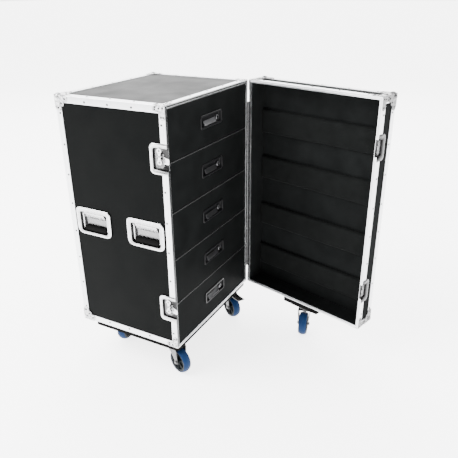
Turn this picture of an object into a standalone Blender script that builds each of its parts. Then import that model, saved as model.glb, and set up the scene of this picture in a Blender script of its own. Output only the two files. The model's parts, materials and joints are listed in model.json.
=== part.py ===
"""Equipment rack case on castors: a plywood body in aluminium edging holds five drawers on runners.

A deep tray of a door, with foam bars inside and a castor of its own, closes the front.
It hangs on a piano hinge on the right-hand edge and stands open by DOOR_OPEN.
Shapes are laid out in the case's own frame: x to the right seen from the front, y towards the back
and z up, from the left, front and bottom faces of the closed body. The empty case_origin then moves
everything so that the floor is z = 0, under the middle of the whole object.
"""

import math

import bmesh
import bpy
from mathutils import Matrix, Vector

# Driving dimensions, in metres and degrees
WIDTH = 0.575
BODY_DEPTH = 0.452
HEIGHT = 0.900
DOOR_DEPTH = 0.096
DOOR_OPEN = 75.0
FOOTPRINT_CENTRE = (0.33258, -0.06452)

# Sheet and gaps
PLY = 0.009
ALUMINIUM = 0.002
GAP = 0.0003
SKIN = ALUMINIUM + GAP
INSIDE = SKIN + PLY
REBATE = 0.0005
LAP = 0.001
BEYOND = 0.010

# Edging
FLANGE = 0.025
OPEN_EDGE = FLANGE + 0.0005
RIM_FACE = 0.0012
RIM_LIP = 0.011
RIM_BACK = 0.008
GROOVE = (0.0046, 0.0078)
GROOVE_DEPTH = 0.004
TONGUE = (0.0052, 0.0072)
TONGUE_REACH = 0.0035
BALL_INSET = 0.010
BALL_RADIUS = 0.0165

# Piano hinge
HINGE_OUT = 0.0028
KNUCKLE_RADIUS = 0.0026
KNUCKLES = 11
KNUCKLE_GAP = 0.0005
HINGE_LOW = 0.080
HINGE_HIGH = 0.815
LEAF_INNER = 0.0105
LEAF_FACES = (0.00015, 0.00105)

# Drawers
DRAWERS = 5
DRAWER_GAP = 0.003
DRAWER_SIDE_GAP = 0.0015
FRONT_SETBACK = 0.004
FRONT_THICKNESS = 0.012
BOX_HALF_WIDTH = 0.2629
BOX_BASE = 0.010
BOX_TOP = 0.150
BOX_BACK = 0.385
BOX_FLOOR = 0.007
RAIL_LOW = 0.012
RAIL_HIGH = 0.038
RAIL_OUTER = 0.2696
PULL_POCKET = (0.070, 0.019, 0.009)
PULL_HINGE = (0.004, 0.002)
PULL_LEVER = (-0.052, 0.030)
PULL_TOP = 0.0015
PULL_DROP = 0.016
PULL_SHEET = 0.003
PULL_LIP = 0.004
LOCK_X = 0.044
LOCK_RADIUS = 0.007

# Runners fixed to the side panels
RUNNER_THICKNESS = 0.0059
RUNNER_Y = (0.020, 0.400)
UPRIGHT_Y = (0.200, 0.256)
UPRIGHT_Z = (0.020, 0.880)
UPRIGHT_THICKNESS = 0.002

# Recessed hand grips in the side panels
GRIP_Y = (0.1105, 0.342)
GRIP_Z = 0.446
GRIP_FLANGE = (0.156, 0.104)
GRIP_CORNER = 0.016
GRIP_POCKET = (0.122, 0.076, 0.018)
GRIP_POCKET_DROP = 0.0035
GRIP_BAR_DROP = 0.0575
GRIP_BAR_RADIUS = 0.0085
GRIP_PIVOT = (0.0088, 0.027)
GRIP_ARM = (0.0510, 0.0565)
GRIP_ARM_HALF = 0.003
GRIP_PIN_RADIUS = 0.0025
DISH_WALL = 0.0015
DISH_FLANGE = (-0.0017, -0.0003)

# Butterfly latches on the left side
LATCH_Z = {"upper": 0.727, "lower": 0.166}
LATCH_FLANGE = (0.068, 0.102)
LATCH_CORNER = 0.014
LATCH_POCKET = (0.0565, 0.071, 0.0076)
LATCH_WALL = 0.0014
LATCH_HUB = (0.030, 0.010)
HUB_RADIUS = 0.006
WING_HALF = 0.005
WING_FACES = (-0.0045, -0.0021)
LOBE_AT = 0.019
LOBE_RADIUS = 0.0085
HOOK_PIVOT = (0.0042, 0.019)
HOOK_LIFT = 20.0
HOOK_REACH = 0.009
HOOK_EDGES = (-0.016, 0.010)
HOOK_HALF = 0.001
HOOK_LIP = 0.003
CATCH_FLANGE = (0.044, 0.092)
CATCH_POCKET = (0.0285, 0.057)
CATCH_CORNER = 0.012
KEEPER_X = 0.0055
KEEPER_Y = (-0.0054, -0.0026)
RIM_WINDOW = 0.0095

# Castors
BOARD_THICKNESS = 0.021
BOARD_INSET = 0.008
BOARD_BACK = 0.400
CASTOR_PLATE = (0.105, 0.085, 0.003)
CASTOR_HEIGHT = 0.128
WHEEL_RADIUS = 0.050
WHEEL_WIDTH = 0.034
WHEEL_SIDES = 24
AXLE_RADIUS = 0.005
TRAIL = 0.036
FRONT_CASTOR = (0.066, 0.064)
REAR_CASTOR = (0.098, 0.354)
DOOR_BOARD = (0.210, 0.383)
DOOR_BOARD_INSET = 0.003
HEAD_RADIUS = 0.027
HEAD_DEPTH = 0.0165
CROWN = (0.024, 0.040, 0.019)
FORK_LEG = (0.0185, 0.0210)
FORK_TIP_RADIUS = 0.012
FORK_ELBOW = (0.006, -0.040)
AXLE_OVERHANG = 0.0035
EAR_Y = (-0.0395, -0.0285)
EAR_Z = (-0.019, -0.006)
WHEEL_HUB_RADIUS = 0.015
RIM_DISH = 0.003
TYRE_HEIGHT = 0.014
TREAD_ROUND = 0.009
PEDAL_PIVOT = (-0.034, -0.012)
PEDAL_SHEET = 0.004
PEDAL_REACH = 0.080
PEDAL_RISE = 0.0045
PEDAL_HALF_WIDTH = 0.016
PEDAL_PIN_RADIUS = 0.0018
DOOR_CASTOR_HEADING = -78.0

# Foam bars in the door: heights of their centres, their size and their distance from the free side
FOAM_CENTRES = (0.125, 0.321, 0.533, 0.729)
FOAM_HEIGHT = 0.097
FOAM_THICKNESS = 0.015
FOAM_END_GAP = 0.022

ROUND_SIDES = 16
ARC_STEPS = 6

FINISHES = {
    "laminate": ((0.022, 0.024, 0.025), 0.45, 0.0),
    "drawer_board": ((0.018, 0.019, 0.019), 0.55, 0.0),
    "aluminium": ((0.78, 0.79, 0.80), 0.32, 1.0),
    "zinc": ((0.66, 0.67, 0.68), 0.28, 1.0),
    "chrome": ((0.80, 0.80, 0.81), 0.12, 1.0),
    "runner_steel": ((0.55, 0.56, 0.57), 0.35, 1.0),
    "rubber": ((0.020, 0.020, 0.021), 0.70, 0.0),
    "foam": ((0.045, 0.046, 0.047), 0.95, 0.0),
    "tyre": ((0.045, 0.185, 0.420), 0.50, 0.0),
    "board": ((0.020, 0.020, 0.020), 0.60, 0.0),
}


def clear_scene():
    for old in list(bpy.data.objects):
        bpy.data.objects.remove(old)


def finish_material(name, finish):
    colour, roughness, metallic = FINISHES[finish]
    material = bpy.data.materials.new(name)
    material.use_nodes = True
    shader = material.node_tree.nodes["Principled BSDF"]
    shader.inputs["Base Color"].default_value = (*colour, 1.0)
    shader.inputs["Roughness"].default_value = roughness
    shader.inputs["Metallic"].default_value = metallic
    return material


def empty(name, parent=None, location=(0, 0, 0), turn=0.0):
    holder = bpy.data.objects.new(name, None)
    bpy.context.scene.collection.objects.link(holder)
    holder.parent = parent
    holder.location = location
    holder.rotation_euler = (0, 0, math.radians(turn))
    return holder


def solid(bm):
    """An unnamed object made from the closed shape in bm."""
    bmesh.ops.recalc_face_normals(bm, faces=bm.faces)
    mesh = bpy.data.meshes.new("shape")
    bm.to_mesh(mesh)
    bm.free()
    made = bpy.data.objects.new("shape", mesh)
    bpy.context.scene.collection.objects.link(made)
    return made


def block(low, high):
    bm = bmesh.new()
    bmesh.ops.create_cube(bm, size=1.0)
    size = [b - a for a, b in zip(low, high)]
    middle = [(a + b) / 2 for a, b in zip(low, high)]
    bmesh.ops.scale(bm, vec=size, verts=bm.verts)
    bmesh.ops.translate(bm, vec=middle, verts=bm.verts)
    return solid(bm)


def prism(outline, low, high, axis):
    """The outline, given in the other two axes in their order, extruded along axis from low to high."""
    def place(point, level):
        coords = list(point)
        coords.insert("xyz".index(axis), level)
        return coords

    bm = bmesh.new()
    bottom = [bm.verts.new(place(p, low)) for p in outline]
    top = [bm.verts.new(place(p, high)) for p in outline]
    bm.faces.new(bottom)
    bm.faces.new(top)
    for i in range(len(outline)):
        j = (i + 1) % len(outline)
        bm.faces.new((bottom[i], bottom[j], top[j], top[i]))
    return solid(bm)


def arc(centre, radius, start, end, steps=ARC_STEPS):
    """Points on an arc from start to end degrees."""
    points = []
    for i in range(steps + 1):
        a = math.radians(start + (end - start) * i / steps)
        points.append((centre[0] + radius * math.cos(a), centre[1] + radius * math.sin(a)))
    return points


def rounded_rectangle(low, high, radius, corners=(True, True, True, True)):
    """A rectangle whose chosen corners are round: low-low, high-low, high-high and low-high."""
    x0, y0 = low
    x1, y1 = high
    places = [
        ((x0, y0), (x0 + radius, y0 + radius), 180),
        ((x1, y0), (x1 - radius, y0 + radius), 270),
        ((x1, y1), (x1 - radius, y1 - radius), 0),
        ((x0, y1), (x0 + radius, y1 - radius), 90),
    ]
    points = []
    for is_round, (corner, centre, start) in zip(corners, places):
        points += arc(centre, radius, start, start + 90, 4) if is_round else [corner]
    return points


def cylinder(start, end, radius, sides=ROUND_SIDES):
    start, end = Vector(start), Vector(end)
    bm = bmesh.new()
    length = (end - start).length
    bmesh.ops.create_cone(
        bm, cap_ends=True, segments=sides, radius1=radius, radius2=radius, depth=length
    )
    turn = Vector((0, 0, 1)).rotation_difference(end - start).to_matrix().to_4x4()
    bmesh.ops.transform(bm, matrix=Matrix.Translation((start + end) / 2) @ turn, verts=bm.verts)
    return solid(bm)


def turned_ring(profile, sides):
    """A closed profile of (radius, x) points turned about the x axis, with a vertex straight down."""
    bm = bmesh.new()
    rings = []
    for i in range(sides):
        a = 2 * math.pi * i / sides - math.pi / 2
        rings.append([bm.verts.new((x, r * math.cos(a), r * math.sin(a))) for r, x in profile])
    for i in range(sides):
        here, there = rings[i], rings[(i + 1) % sides]
        for j in range(len(profile)):
            k = (j + 1) % len(profile)
            bm.faces.new((here[j], here[k], there[k], there[j]))
    return solid(bm)


def edge_loop(profile):
    """A closed profile of (inset, y) points carried round the case's rectangle with mitred corners."""
    bm = bmesh.new()
    corners = []
    for right, top in ((0, 0), (1, 0), (1, 1), (0, 1)):
        ring = []
        for inset, y in profile:
            x = WIDTH - inset if right else inset
            z = HEIGHT - inset if top else inset
            ring.append(bm.verts.new((x, y, z)))
        corners.append(ring)
    for i in range(4):
        here, there = corners[i], corners[(i + 1) % 4]
        for j in range(len(profile)):
            k = (j + 1) % len(profile)
            bm.faces.new((here[j], here[k], there[k], there[j]))
    return solid(bm)


def boolean(base, tool, operation):
    modifier = base.modifiers.new(operation, "BOOLEAN")
    modifier.operation = operation
    modifier.object = tool
    bpy.context.view_layer.update()
    graph = bpy.context.evaluated_depsgraph_get()
    shaped = bpy.data.meshes.new_from_object(base.evaluated_get(graph))
    base.modifiers.clear()
    base.data = shaped
    bpy.data.objects.remove(tool)


def join(base, *tools):
    for tool in tools:
        boolean(base, tool, "UNION")
    return base


def cut(base, *tools):
    for tool in tools:
        boolean(base, tool, "DIFFERENCE")
    return base


def name_part(part, name, finish, parent, location=(0, 0, 0), turn=0.0, smooth=False):
    """Gives a finished shape its name, material and place."""
    part.name = name
    part.data.name = name
    part.data.materials.clear()
    part.data.materials.append(finish_material(name, finish))
    if smooth:
        part.data.shade_smooth()
        part.data.set_sharp_from_angle(angle=math.radians(35))
    part.parent = parent
    part.location = location
    part.rotation_euler = (0, 0, math.radians(turn))
    return part


def copy_of(part):
    twin = bpy.data.objects.new("shape", part.data.copy())
    bpy.context.scene.collection.objects.link(twin)
    return twin


# Body panels and edging


def grip_window(side_x, y):
    half_y = GRIP_POCKET[0] / 2 + DISH_WALL + GAP
    half_z = GRIP_POCKET[1] / 2 + DISH_WALL + GAP
    middle = GRIP_Z - GRIP_POCKET_DROP
    reach = 2 * INSIDE
    return block(
        (side_x - reach, y - half_y, middle - half_z), (side_x + reach, y + half_y, middle + half_z)
    )


def latch_cut(depth_x):
    """Blocks that let the latch dishes through the body's left side."""
    back = LATCH_POCKET[0] + LATCH_WALL + GAP
    half = LATCH_POCKET[1] / 2 + LATCH_WALL + GAP
    return [block((-BEYOND, -BEYOND, z - half), (depth_x, back, z + half)) for z in LATCH_Z.values()]


def side_panels(parent):
    front, back = RIM_BACK + GAP, BODY_DEPTH - SKIN
    left = block((SKIN, front, SKIN), (INSIDE, back, HEIGHT - SKIN))
    cut(left, *[grip_window(0, y) for y in GRIP_Y])
    cut(left, *latch_cut(2 * INSIDE))
    name_part(left, "left_panel", "laminate", parent)
    right = block((WIDTH - INSIDE, front, SKIN), (WIDTH - SKIN, back, HEIGHT - SKIN))
    cut(right, *[grip_window(WIDTH, y) for y in GRIP_Y])
    name_part(right, "right_panel", "laminate", parent)


def flat_panels(parent):
    """Top, bottom and back. The face between the angles stands a little above the edge tucked in."""
    front, back = RIM_BACK + GAP, BODY_DEPTH - SKIN
    left, right = INSIDE + GAP, WIDTH - INSIDE - GAP
    near, far = OPEN_EDGE, BODY_DEPTH - OPEN_EDGE
    top = block((left, front, HEIGHT - INSIDE), (right, back, HEIGHT - SKIN))
    open_face = block(
        (OPEN_EDGE, near, HEIGHT - INSIDE + LAP), (WIDTH - OPEN_EDGE, far, HEIGHT - SKIN + REBATE)
    )
    name_part(join(top, open_face), "top_panel", "laminate", parent)
    bottom = block((left, front, SKIN), (right, back, INSIDE))
    name_part(bottom, "bottom_panel", "laminate", parent)
    rear = block(
        (left, BODY_DEPTH - INSIDE, INSIDE + GAP), (right, back, HEIGHT - INSIDE - GAP)
    )
    open_face = block(
        (OPEN_EDGE, BODY_DEPTH - INSIDE + LAP, OPEN_EDGE),
        (WIDTH - OPEN_EDGE, back + REBATE, HEIGHT - OPEN_EDGE),
    )
    name_part(join(rear, open_face), "back_panel", "laminate", parent)


def front_rim(parent):
    profile = [
        (0, RIM_FACE),
        (GROOVE[0], RIM_FACE),
        (GROOVE[0], RIM_FACE + GROOVE_DEPTH),
        (GROOVE[1], RIM_FACE + GROOVE_DEPTH),
        (GROOVE[1], RIM_FACE),
        (RIM_LIP, RIM_FACE),
        (RIM_LIP, RIM_BACK),
        (ALUMINIUM, RIM_BACK),
        (ALUMINIUM, FLANGE),
        (0, FLANGE),
    ]
    rim = cut(edge_loop(profile), *latch_cut(RIM_WINDOW))
    name_part(rim, "front_rim", "aluminium", parent)


def corner_cube(x_side, y, inwards, z_side):
    """The cube between a corner of the case and its ball's centre."""
    x = (-BEYOND, BALL_INSET) if x_side == 0 else (WIDTH - BALL_INSET, WIDTH + BEYOND)
    z = (-BEYOND, BALL_INSET) if z_side == 0 else (HEIGHT - BALL_INSET, HEIGHT + BEYOND)
    low, high = sorted((y - inwards * BEYOND, y + inwards * BALL_INSET))
    return block((x[0], low, z[0]), (x[1], high, z[1]))


def ball(x_side, y, inwards, z_side):
    """A ball corner's sphere, set in from the corner by the same amount on all three faces."""
    bm = bmesh.new()
    bmesh.ops.create_icosphere(bm, subdivisions=2, radius=BALL_RADIUS)
    x = BALL_INSET if x_side == 0 else WIDTH - BALL_INSET
    z = BALL_INSET if z_side == 0 else HEIGHT - BALL_INSET
    bmesh.ops.translate(bm, vec=(x, y + inwards * BALL_INSET, z), verts=bm.verts)
    return solid(bm)


def outer_edging(face_y, open_y):
    """Angle round one face of the case and along its four corners as far as open_y, with ball corners.

    It starts as a solid block, which is hollowed to a shell and then windowed down to its edges.
    """
    inwards = 1 if open_y > face_y else -1
    low, high = sorted((face_y, open_y))
    edging = block((0, low, 0), (WIDTH, high, HEIGHT))
    for x_side in (0, 1):
        for z_side in (0, 1):
            cut(edging, corner_cube(x_side, face_y, inwards, z_side))
            join(edging, ball(x_side, face_y, inwards, z_side))
    low, high = sorted((face_y + inwards * ALUMINIUM, open_y + inwards * BEYOND))
    cut(edging, block((ALUMINIUM, low, ALUMINIUM), (WIDTH - ALUMINIUM, high, HEIGHT - ALUMINIUM)))
    low, high = sorted((face_y - inwards * BEYOND, face_y + inwards * BEYOND))
    cut(edging, block((FLANGE, low, FLANGE), (WIDTH - FLANGE, high, HEIGHT - FLANGE)))
    low, high = sorted((face_y + inwards * FLANGE, open_y + inwards * BEYOND))
    cut(edging, block((-BEYOND, low, FLANGE), (WIDTH + BEYOND, high, HEIGHT - FLANGE)))
    return cut(edging, block((FLANGE, low, -BEYOND), (WIDTH - FLANGE, high, HEIGHT + BEYOND)))


def body_edging(parent):
    edging = outer_edging(BODY_DEPTH, FLANGE + GAP)
    name_part(edging, "body_edging", "aluminium", parent)


# Runners and drawers


def drawer_pitch():
    clear = HEIGHT - 2 * RIM_LIP
    return (clear - 2 * DRAWER_SIDE_GAP + DRAWER_GAP) / DRAWERS


def drawer_bottom(index):
    return RIM_LIP + DRAWER_SIDE_GAP + index * drawer_pitch()


def runner_set(parent, name, right):
    def strip(thickness, y, z):
        x = (INSIDE + GAP, INSIDE + GAP + thickness)
        if right:
            x = (WIDTH - x[1], WIDTH - x[0])
        return block((x[0], y[0], z[0]), (x[1], y[1], z[1]))

    rails = strip(UPRIGHT_THICKNESS, UPRIGHT_Y, UPRIGHT_Z)
    for index in range(DRAWERS):
        base = drawer_bottom(index)
        join(rails, strip(RUNNER_THICKNESS, RUNNER_Y, (base + RAIL_LOW, base + RAIL_HIGH)))
    name_part(rails, name, "runner_steel", parent)


def drawer_shape():
    """Front, box and side rails of a drawer, from the middle of its front face's bottom edge."""
    half = WIDTH / 2 - RIM_LIP - DRAWER_SIDE_GAP
    height = drawer_pitch() - DRAWER_GAP
    middle = height / 2
    face = block((-half, 0, 0), (half, FRONT_THICKNESS, height))
    outer = BOX_HALF_WIDTH
    shell = block((-outer, FRONT_THICKNESS - LAP, BOX_BASE), (outer, BOX_BACK, BOX_TOP))
    cavity = block(
        (PLY - outer, FRONT_THICKNESS, BOX_BASE + BOX_FLOOR),
        (outer - PLY, BOX_BACK - PLY, BOX_TOP + LAP),
    )
    cut(shell, cavity)
    join(face, shell)
    for side in (-1, 1):
        x = sorted((side * (outer - LAP), side * RAIL_OUTER))
        join(face, block((x[0], FRONT_THICKNESS + LAP, RAIL_LOW), (x[1], BOX_BACK - LAP, RAIL_HIGH)))
    half_x, half_z, depth = PULL_POCKET
    cut(face, block((-half_x, -LAP, middle - half_z), (half_x, depth, middle + half_z)))
    lock = cylinder((LOCK_X, -LAP, middle), (LOCK_X, depth + LAP, middle), LOCK_RADIUS)
    return join(face, lock)


def pull_shape():
    """A drawer's pull lever, hanging from its hinge line along x at its top edge."""
    left, right = PULL_LEVER
    lever = block((left, -PULL_SHEET, -PULL_DROP), (right, 0, PULL_TOP))
    low, high = -PULL_DROP, PULL_SHEET - PULL_DROP
    return join(lever, block((left, -PULL_SHEET - PULL_LIP, low), (right, LAP - PULL_SHEET, high)))


def drawers(parent):
    shape = drawer_shape()
    lever = pull_shape()
    middle = (drawer_pitch() - DRAWER_GAP) / 2
    for index in range(DRAWERS):
        number = DRAWERS - index
        place = (WIDTH / 2, FRONT_SETBACK, drawer_bottom(index))
        drawer = name_part(copy_of(shape), f"drawer_{number}", "drawer_board", parent, place)
        hinge_line = (0, PULL_HINGE[0], middle + PULL_HINGE[1])
        name_part(copy_of(lever), f"drawer_{number}_pull", "chrome", drawer, hinge_line)
    bpy.data.objects.remove(shape)
    bpy.data.objects.remove(lever)


# Recessed grips


def grip_dish_shape():
    """A dish that opens to -x, centred on its flange."""
    half_y, half_z = GRIP_FLANGE[0] / 2, GRIP_FLANGE[1] / 2
    outline = rounded_rectangle((-half_y, -half_z), (half_y, half_z), GRIP_CORNER)
    dish = prism(outline, *DISH_FLANGE, "x")
    pocket_y, pocket_z, depth = GRIP_POCKET[0] / 2, GRIP_POCKET[1] / 2, GRIP_POCKET[2]
    low, high = -pocket_z - GRIP_POCKET_DROP, pocket_z - GRIP_POCKET_DROP
    wall = DISH_WALL
    shell = block(
        (DISH_FLANGE[0] / 2, -pocket_y - wall, low - wall), (depth + wall, pocket_y + wall, high + wall)
    )
    join(dish, shell)
    return cut(dish, block((-BEYOND, -pocket_y, low), (depth, pocket_y, high)))


def grip_bar_shape():
    """The swinging bail and its rubber grip, hanging from its hinge line along y."""
    inner, outer = GRIP_ARM
    end = inner + LAP
    bar = cylinder((0, -end, -GRIP_BAR_DROP), (0, end, -GRIP_BAR_DROP), GRIP_BAR_RADIUS, 12)
    for side in (-1, 1):
        y = sorted((side * inner, side * outer))
        low = -GRIP_BAR_DROP - GRIP_ARM_HALF
        join(bar, block((-GRIP_ARM_HALF, y[0], low), (GRIP_ARM_HALF, y[1], GRIP_ARM_HALF)))
        pin_end = side * (GRIP_POCKET[0] / 2 - 2 * GAP)
        join(bar, cylinder((0, side * (inner + LAP), 0), (0, pin_end, 0), GRIP_PIN_RADIUS, 10))
    return bar


def side_grips(parent):
    dish = grip_dish_shape()
    bar = grip_bar_shape()
    for side, x, turn in (("left", 0, 0), ("right", WIDTH, 180)):
        for place, y in zip(("front", "rear"), GRIP_Y):
            name = f"{side}_{place}_grip"
            holder = empty(f"{name}_place", parent, (x, y, GRIP_Z), turn)
            name_part(copy_of(dish), f"{name}_dish", "zinc", holder)
            hang = (GRIP_PIVOT[0], 0, GRIP_PIVOT[1])
            name_part(copy_of(bar), f"{name}_bar", "rubber", holder, hang, smooth=True)
    bpy.data.objects.remove(dish)
    bpy.data.objects.remove(bar)


# Butterfly latches


def latch_dish_shape():
    """The body's half of a latch: a dish that opens to -x and, across the joint, to -y."""
    long_y, half_z = LATCH_FLANGE[0], LATCH_FLANGE[1] / 2
    back_corners = (False, True, True, False)
    outline = rounded_rectangle((2 * GAP, -half_z), (long_y, half_z), LATCH_CORNER, back_corners)
    dish = prism(outline, *DISH_FLANGE, "x")
    deep_y, high_z, deep_x = LATCH_POCKET[0], LATCH_POCKET[1] / 2, LATCH_POCKET[2]
    wall = LATCH_WALL
    shell = block(
        (DISH_FLANGE[0] / 2, 2 * GAP, -high_z - wall), (deep_x + wall, deep_y + wall, high_z + wall)
    )
    join(dish, shell)
    return cut(dish, block((-BEYOND, -BEYOND, -high_z), (deep_x, deep_y, high_z)))


def latch_wing_shape():
    """The butterfly knob: two round lobes on a hub that turns about x."""
    low, high = WING_FACES
    wing = block((low, -WING_HALF, -LOBE_AT), (high, WING_HALF, LOBE_AT))
    for z in (-LOBE_AT, LOBE_AT):
        join(wing, cylinder((low, 0, z), (high, 0, z), LOBE_RADIUS, 14))
    return join(wing, cylinder((high - LAP, 0, 0), (LATCH_POCKET[2] - GAP, 0, 0), HUB_RADIUS, 12))


def latch_hook_shape():
    """The draw hook, lying flat from its lift axis along z towards -y, with a lip that turns in."""
    nose = -HOOK_PIVOT[1] - HOOK_REACH
    tail = 2 * HOOK_HALF
    outline = [
        (-HOOK_HALF, tail),
        (-HOOK_HALF, nose),
        (HOOK_LIP, nose),
        (HOOK_LIP, nose + HOOK_LIP),
        (HOOK_HALF, nose + HOOK_LIP),
        (HOOK_HALF, tail),
    ]
    return prism(outline, *HOOK_EDGES, "z")


def catch_shape():
    """The door's half of a latch: a dish with the keeper bar that the hook draws on."""
    long_y, half_z = CATCH_FLANGE[0], CATCH_FLANGE[1] / 2
    far_corners = (True, False, False, True)
    outline = rounded_rectangle((-long_y, -half_z), (-2 * GAP, half_z), CATCH_CORNER, far_corners)
    dish = prism(outline, *DISH_FLANGE, "x")
    deep_y, high_z, deep_x = CATCH_POCKET[0], CATCH_POCKET[1] / 2, LATCH_POCKET[2]
    wall = LATCH_WALL
    shell = block(
        (DISH_FLANGE[0] / 2, -deep_y - wall, -high_z - wall), (deep_x + wall, -2 * GAP, high_z + wall)
    )
    join(dish, shell)
    cut(dish, block((-BEYOND, -deep_y, -high_z), (deep_x, BEYOND, high_z)))
    low = (KEEPER_X, KEEPER_Y[0], HOOK_EDGES[0])
    return join(dish, block(low, (deep_x + wall / 2, KEEPER_Y[1], HOOK_EDGES[1])))


def latches(body, door):
    """Two latches: each one's dish, butterfly and hook on the body, and its catch on the door."""
    dish = latch_dish_shape()
    wing = latch_wing_shape()
    hook = latch_hook_shape()
    catch = catch_shape()
    for place, z in LATCH_Z.items():
        name_part(copy_of(dish), f"{place}_latch_dish", "zinc", body, (0, 0, z))
        hub = (0, LATCH_HUB[0], z + LATCH_HUB[1])
        name_part(copy_of(wing), f"{place}_latch_wing", "zinc", body, hub, smooth=True)
        at = (HOOK_PIVOT[0], HOOK_PIVOT[1], z)
        name_part(copy_of(hook), f"{place}_latch_hook", "zinc", body, at, -HOOK_LIFT)
        name_part(copy_of(catch), f"{place}_latch_catch", "zinc", door, (-WIDTH - HINGE_OUT, 0, z))
    for shape in (dish, wing, hook, catch):
        bpy.data.objects.remove(shape)


# Piano hinge


def hinge_leaf(side, first):
    """One leaf, on the hinge's own axis. side is 1 for the body's leaf and -1 for the door's."""
    faces = sorted(side * y for y in LEAF_FACES)
    inner = -HINGE_OUT - LEAF_INNER
    leaf = block((inner, faces[0], HINGE_LOW), (-HINGE_OUT - GAP / 3, faces[1], HINGE_HIGH))
    pitch = (HINGE_HIGH - HINGE_LOW) / KNUCKLES
    for index in range(first, KNUCKLES, 2):
        low = HINGE_LOW + index * pitch + KNUCKLE_GAP / 2
        high = low + pitch - KNUCKLE_GAP
        join(leaf, block((-HINGE_OUT - LAP, faces[0], low), (0, faces[1], high)))
        join(leaf, cylinder((0, 0, low), (0, 0, high), KNUCKLE_RADIUS, 10))
    return leaf


def hinge(body, door):
    name_part(hinge_leaf(1, 0), "hinge_body_leaf", "aluminium", body, (WIDTH + HINGE_OUT, 0, 0))
    name_part(hinge_leaf(-1, 1), "hinge_door_leaf", "aluminium", door)


# Door


def door_panels(parent, offset):
    wall = edge_loop(
        [
            (SKIN, -RIM_BACK - GAP),
            (INSIDE, -RIM_BACK - GAP),
            (INSIDE, SKIN - DOOR_DEPTH),
            (SKIN, SKIN - DOOR_DEPTH),
        ]
    )
    cut(wall, *catch_cut(2 * INSIDE))
    name_part(wall, "door_side_walls", "laminate", parent, offset)
    edge = INSIDE + GAP
    face = block((edge, SKIN - DOOR_DEPTH, edge), (WIDTH - edge, INSIDE - DOOR_DEPTH, HEIGHT - edge))
    open_face = block(
        (OPEN_EDGE, SKIN - REBATE - DOOR_DEPTH, OPEN_EDGE),
        (WIDTH - OPEN_EDGE, INSIDE - LAP - DOOR_DEPTH, HEIGHT - OPEN_EDGE),
    )
    name_part(join(face, open_face), "door_face_panel", "laminate", parent, offset)


def catch_cut(depth_x):
    """Blocks that let the catches through the door's free side."""
    back = CATCH_POCKET[0] + LATCH_WALL + GAP
    half = CATCH_POCKET[1] / 2 + LATCH_WALL + GAP
    return [block((-BEYOND, -back, z - half), (depth_x, BEYOND, z + half)) for z in LATCH_Z.values()]


def door_rim(parent, offset):
    tip = TONGUE_REACH - RIM_FACE
    profile = [
        (0, -RIM_FACE),
        (TONGUE[0], -RIM_FACE),
        (TONGUE[0], tip),
        (TONGUE[1], tip),
        (TONGUE[1], -RIM_FACE),
        (RIM_LIP, -RIM_FACE),
        (RIM_LIP, -RIM_BACK),
        (ALUMINIUM, -RIM_BACK),
        (ALUMINIUM, -FLANGE),
        (0, -FLANGE),
    ]
    rim = edge_loop(profile)
    hinge_side = block((WIDTH - BEYOND, -RIM_FACE, -BEYOND), (WIDTH + BEYOND, BEYOND, HEIGHT + BEYOND))
    cut(rim, hinge_side, *catch_cut(RIM_WINDOW))
    for z in LATCH_Z.values():
        half = LATCH_POCKET[1] / 2 + 2 * LATCH_WALL
        cut(rim, block((-BEYOND, -RIM_FACE, z - half), (RIM_WINDOW, BEYOND, z + half)))
    name_part(rim, "door_rim", "aluminium", parent, offset)


def door_edging(parent, offset):
    edging = outer_edging(-DOOR_DEPTH, -FLANGE - GAP)
    name_part(edging, "door_edging", "aluminium", parent, offset)


def door_foam(parent, offset):
    back = INSIDE - DOOR_DEPTH + GAP
    for number, z in enumerate(FOAM_CENTRES, 1):
        low = (INSIDE + FOAM_END_GAP, back, z - FOAM_HEIGHT / 2)
        high = (WIDTH - INSIDE - GAP, back + FOAM_THICKNESS, z + FOAM_HEIGHT / 2)
        name_part(block(low, high), f"door_foam_{number}", "foam", parent, offset)


# Castors


def castor_plate(x, y):
    long_side, short_side, thick = CASTOR_PLATE
    half_x, half_y, base = long_side / 2, short_side / 2, -BOARD_THICKNESS
    return block((x - half_x, y - half_y, base - thick), (x + half_x, y + half_y, base + LAP))


def body_castor_places():
    return {
        "front_left": (FRONT_CASTOR[0], FRONT_CASTOR[1]),
        "front_right": (WIDTH - FRONT_CASTOR[0], FRONT_CASTOR[1]),
        "rear_left": (REAR_CASTOR[0], REAR_CASTOR[1]),
        "rear_right": (WIDTH - REAR_CASTOR[0], REAR_CASTOR[1]),
    }


def wheel_boards(body, door):
    board = block(
        (BOARD_INSET, BOARD_INSET, -BOARD_THICKNESS), (WIDTH - BOARD_INSET, BOARD_BACK, -GAP)
    )
    for x, y in body_castor_places().values():
        join(board, castor_plate(x, y))
    name_part(board, "body_wheel_board", "board", body)
    low = (-DOOR_BOARD[1], DOOR_BOARD_INSET - DOOR_DEPTH, -BOARD_THICKNESS)
    high = (-DOOR_BOARD[0], -DOOR_BOARD_INSET, -GAP)
    small = block(low, high)
    join(small, castor_plate(-sum(DOOR_BOARD) / 2, -DOOR_DEPTH / 2))
    name_part(small, "door_wheel_board", "board", door)


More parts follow.
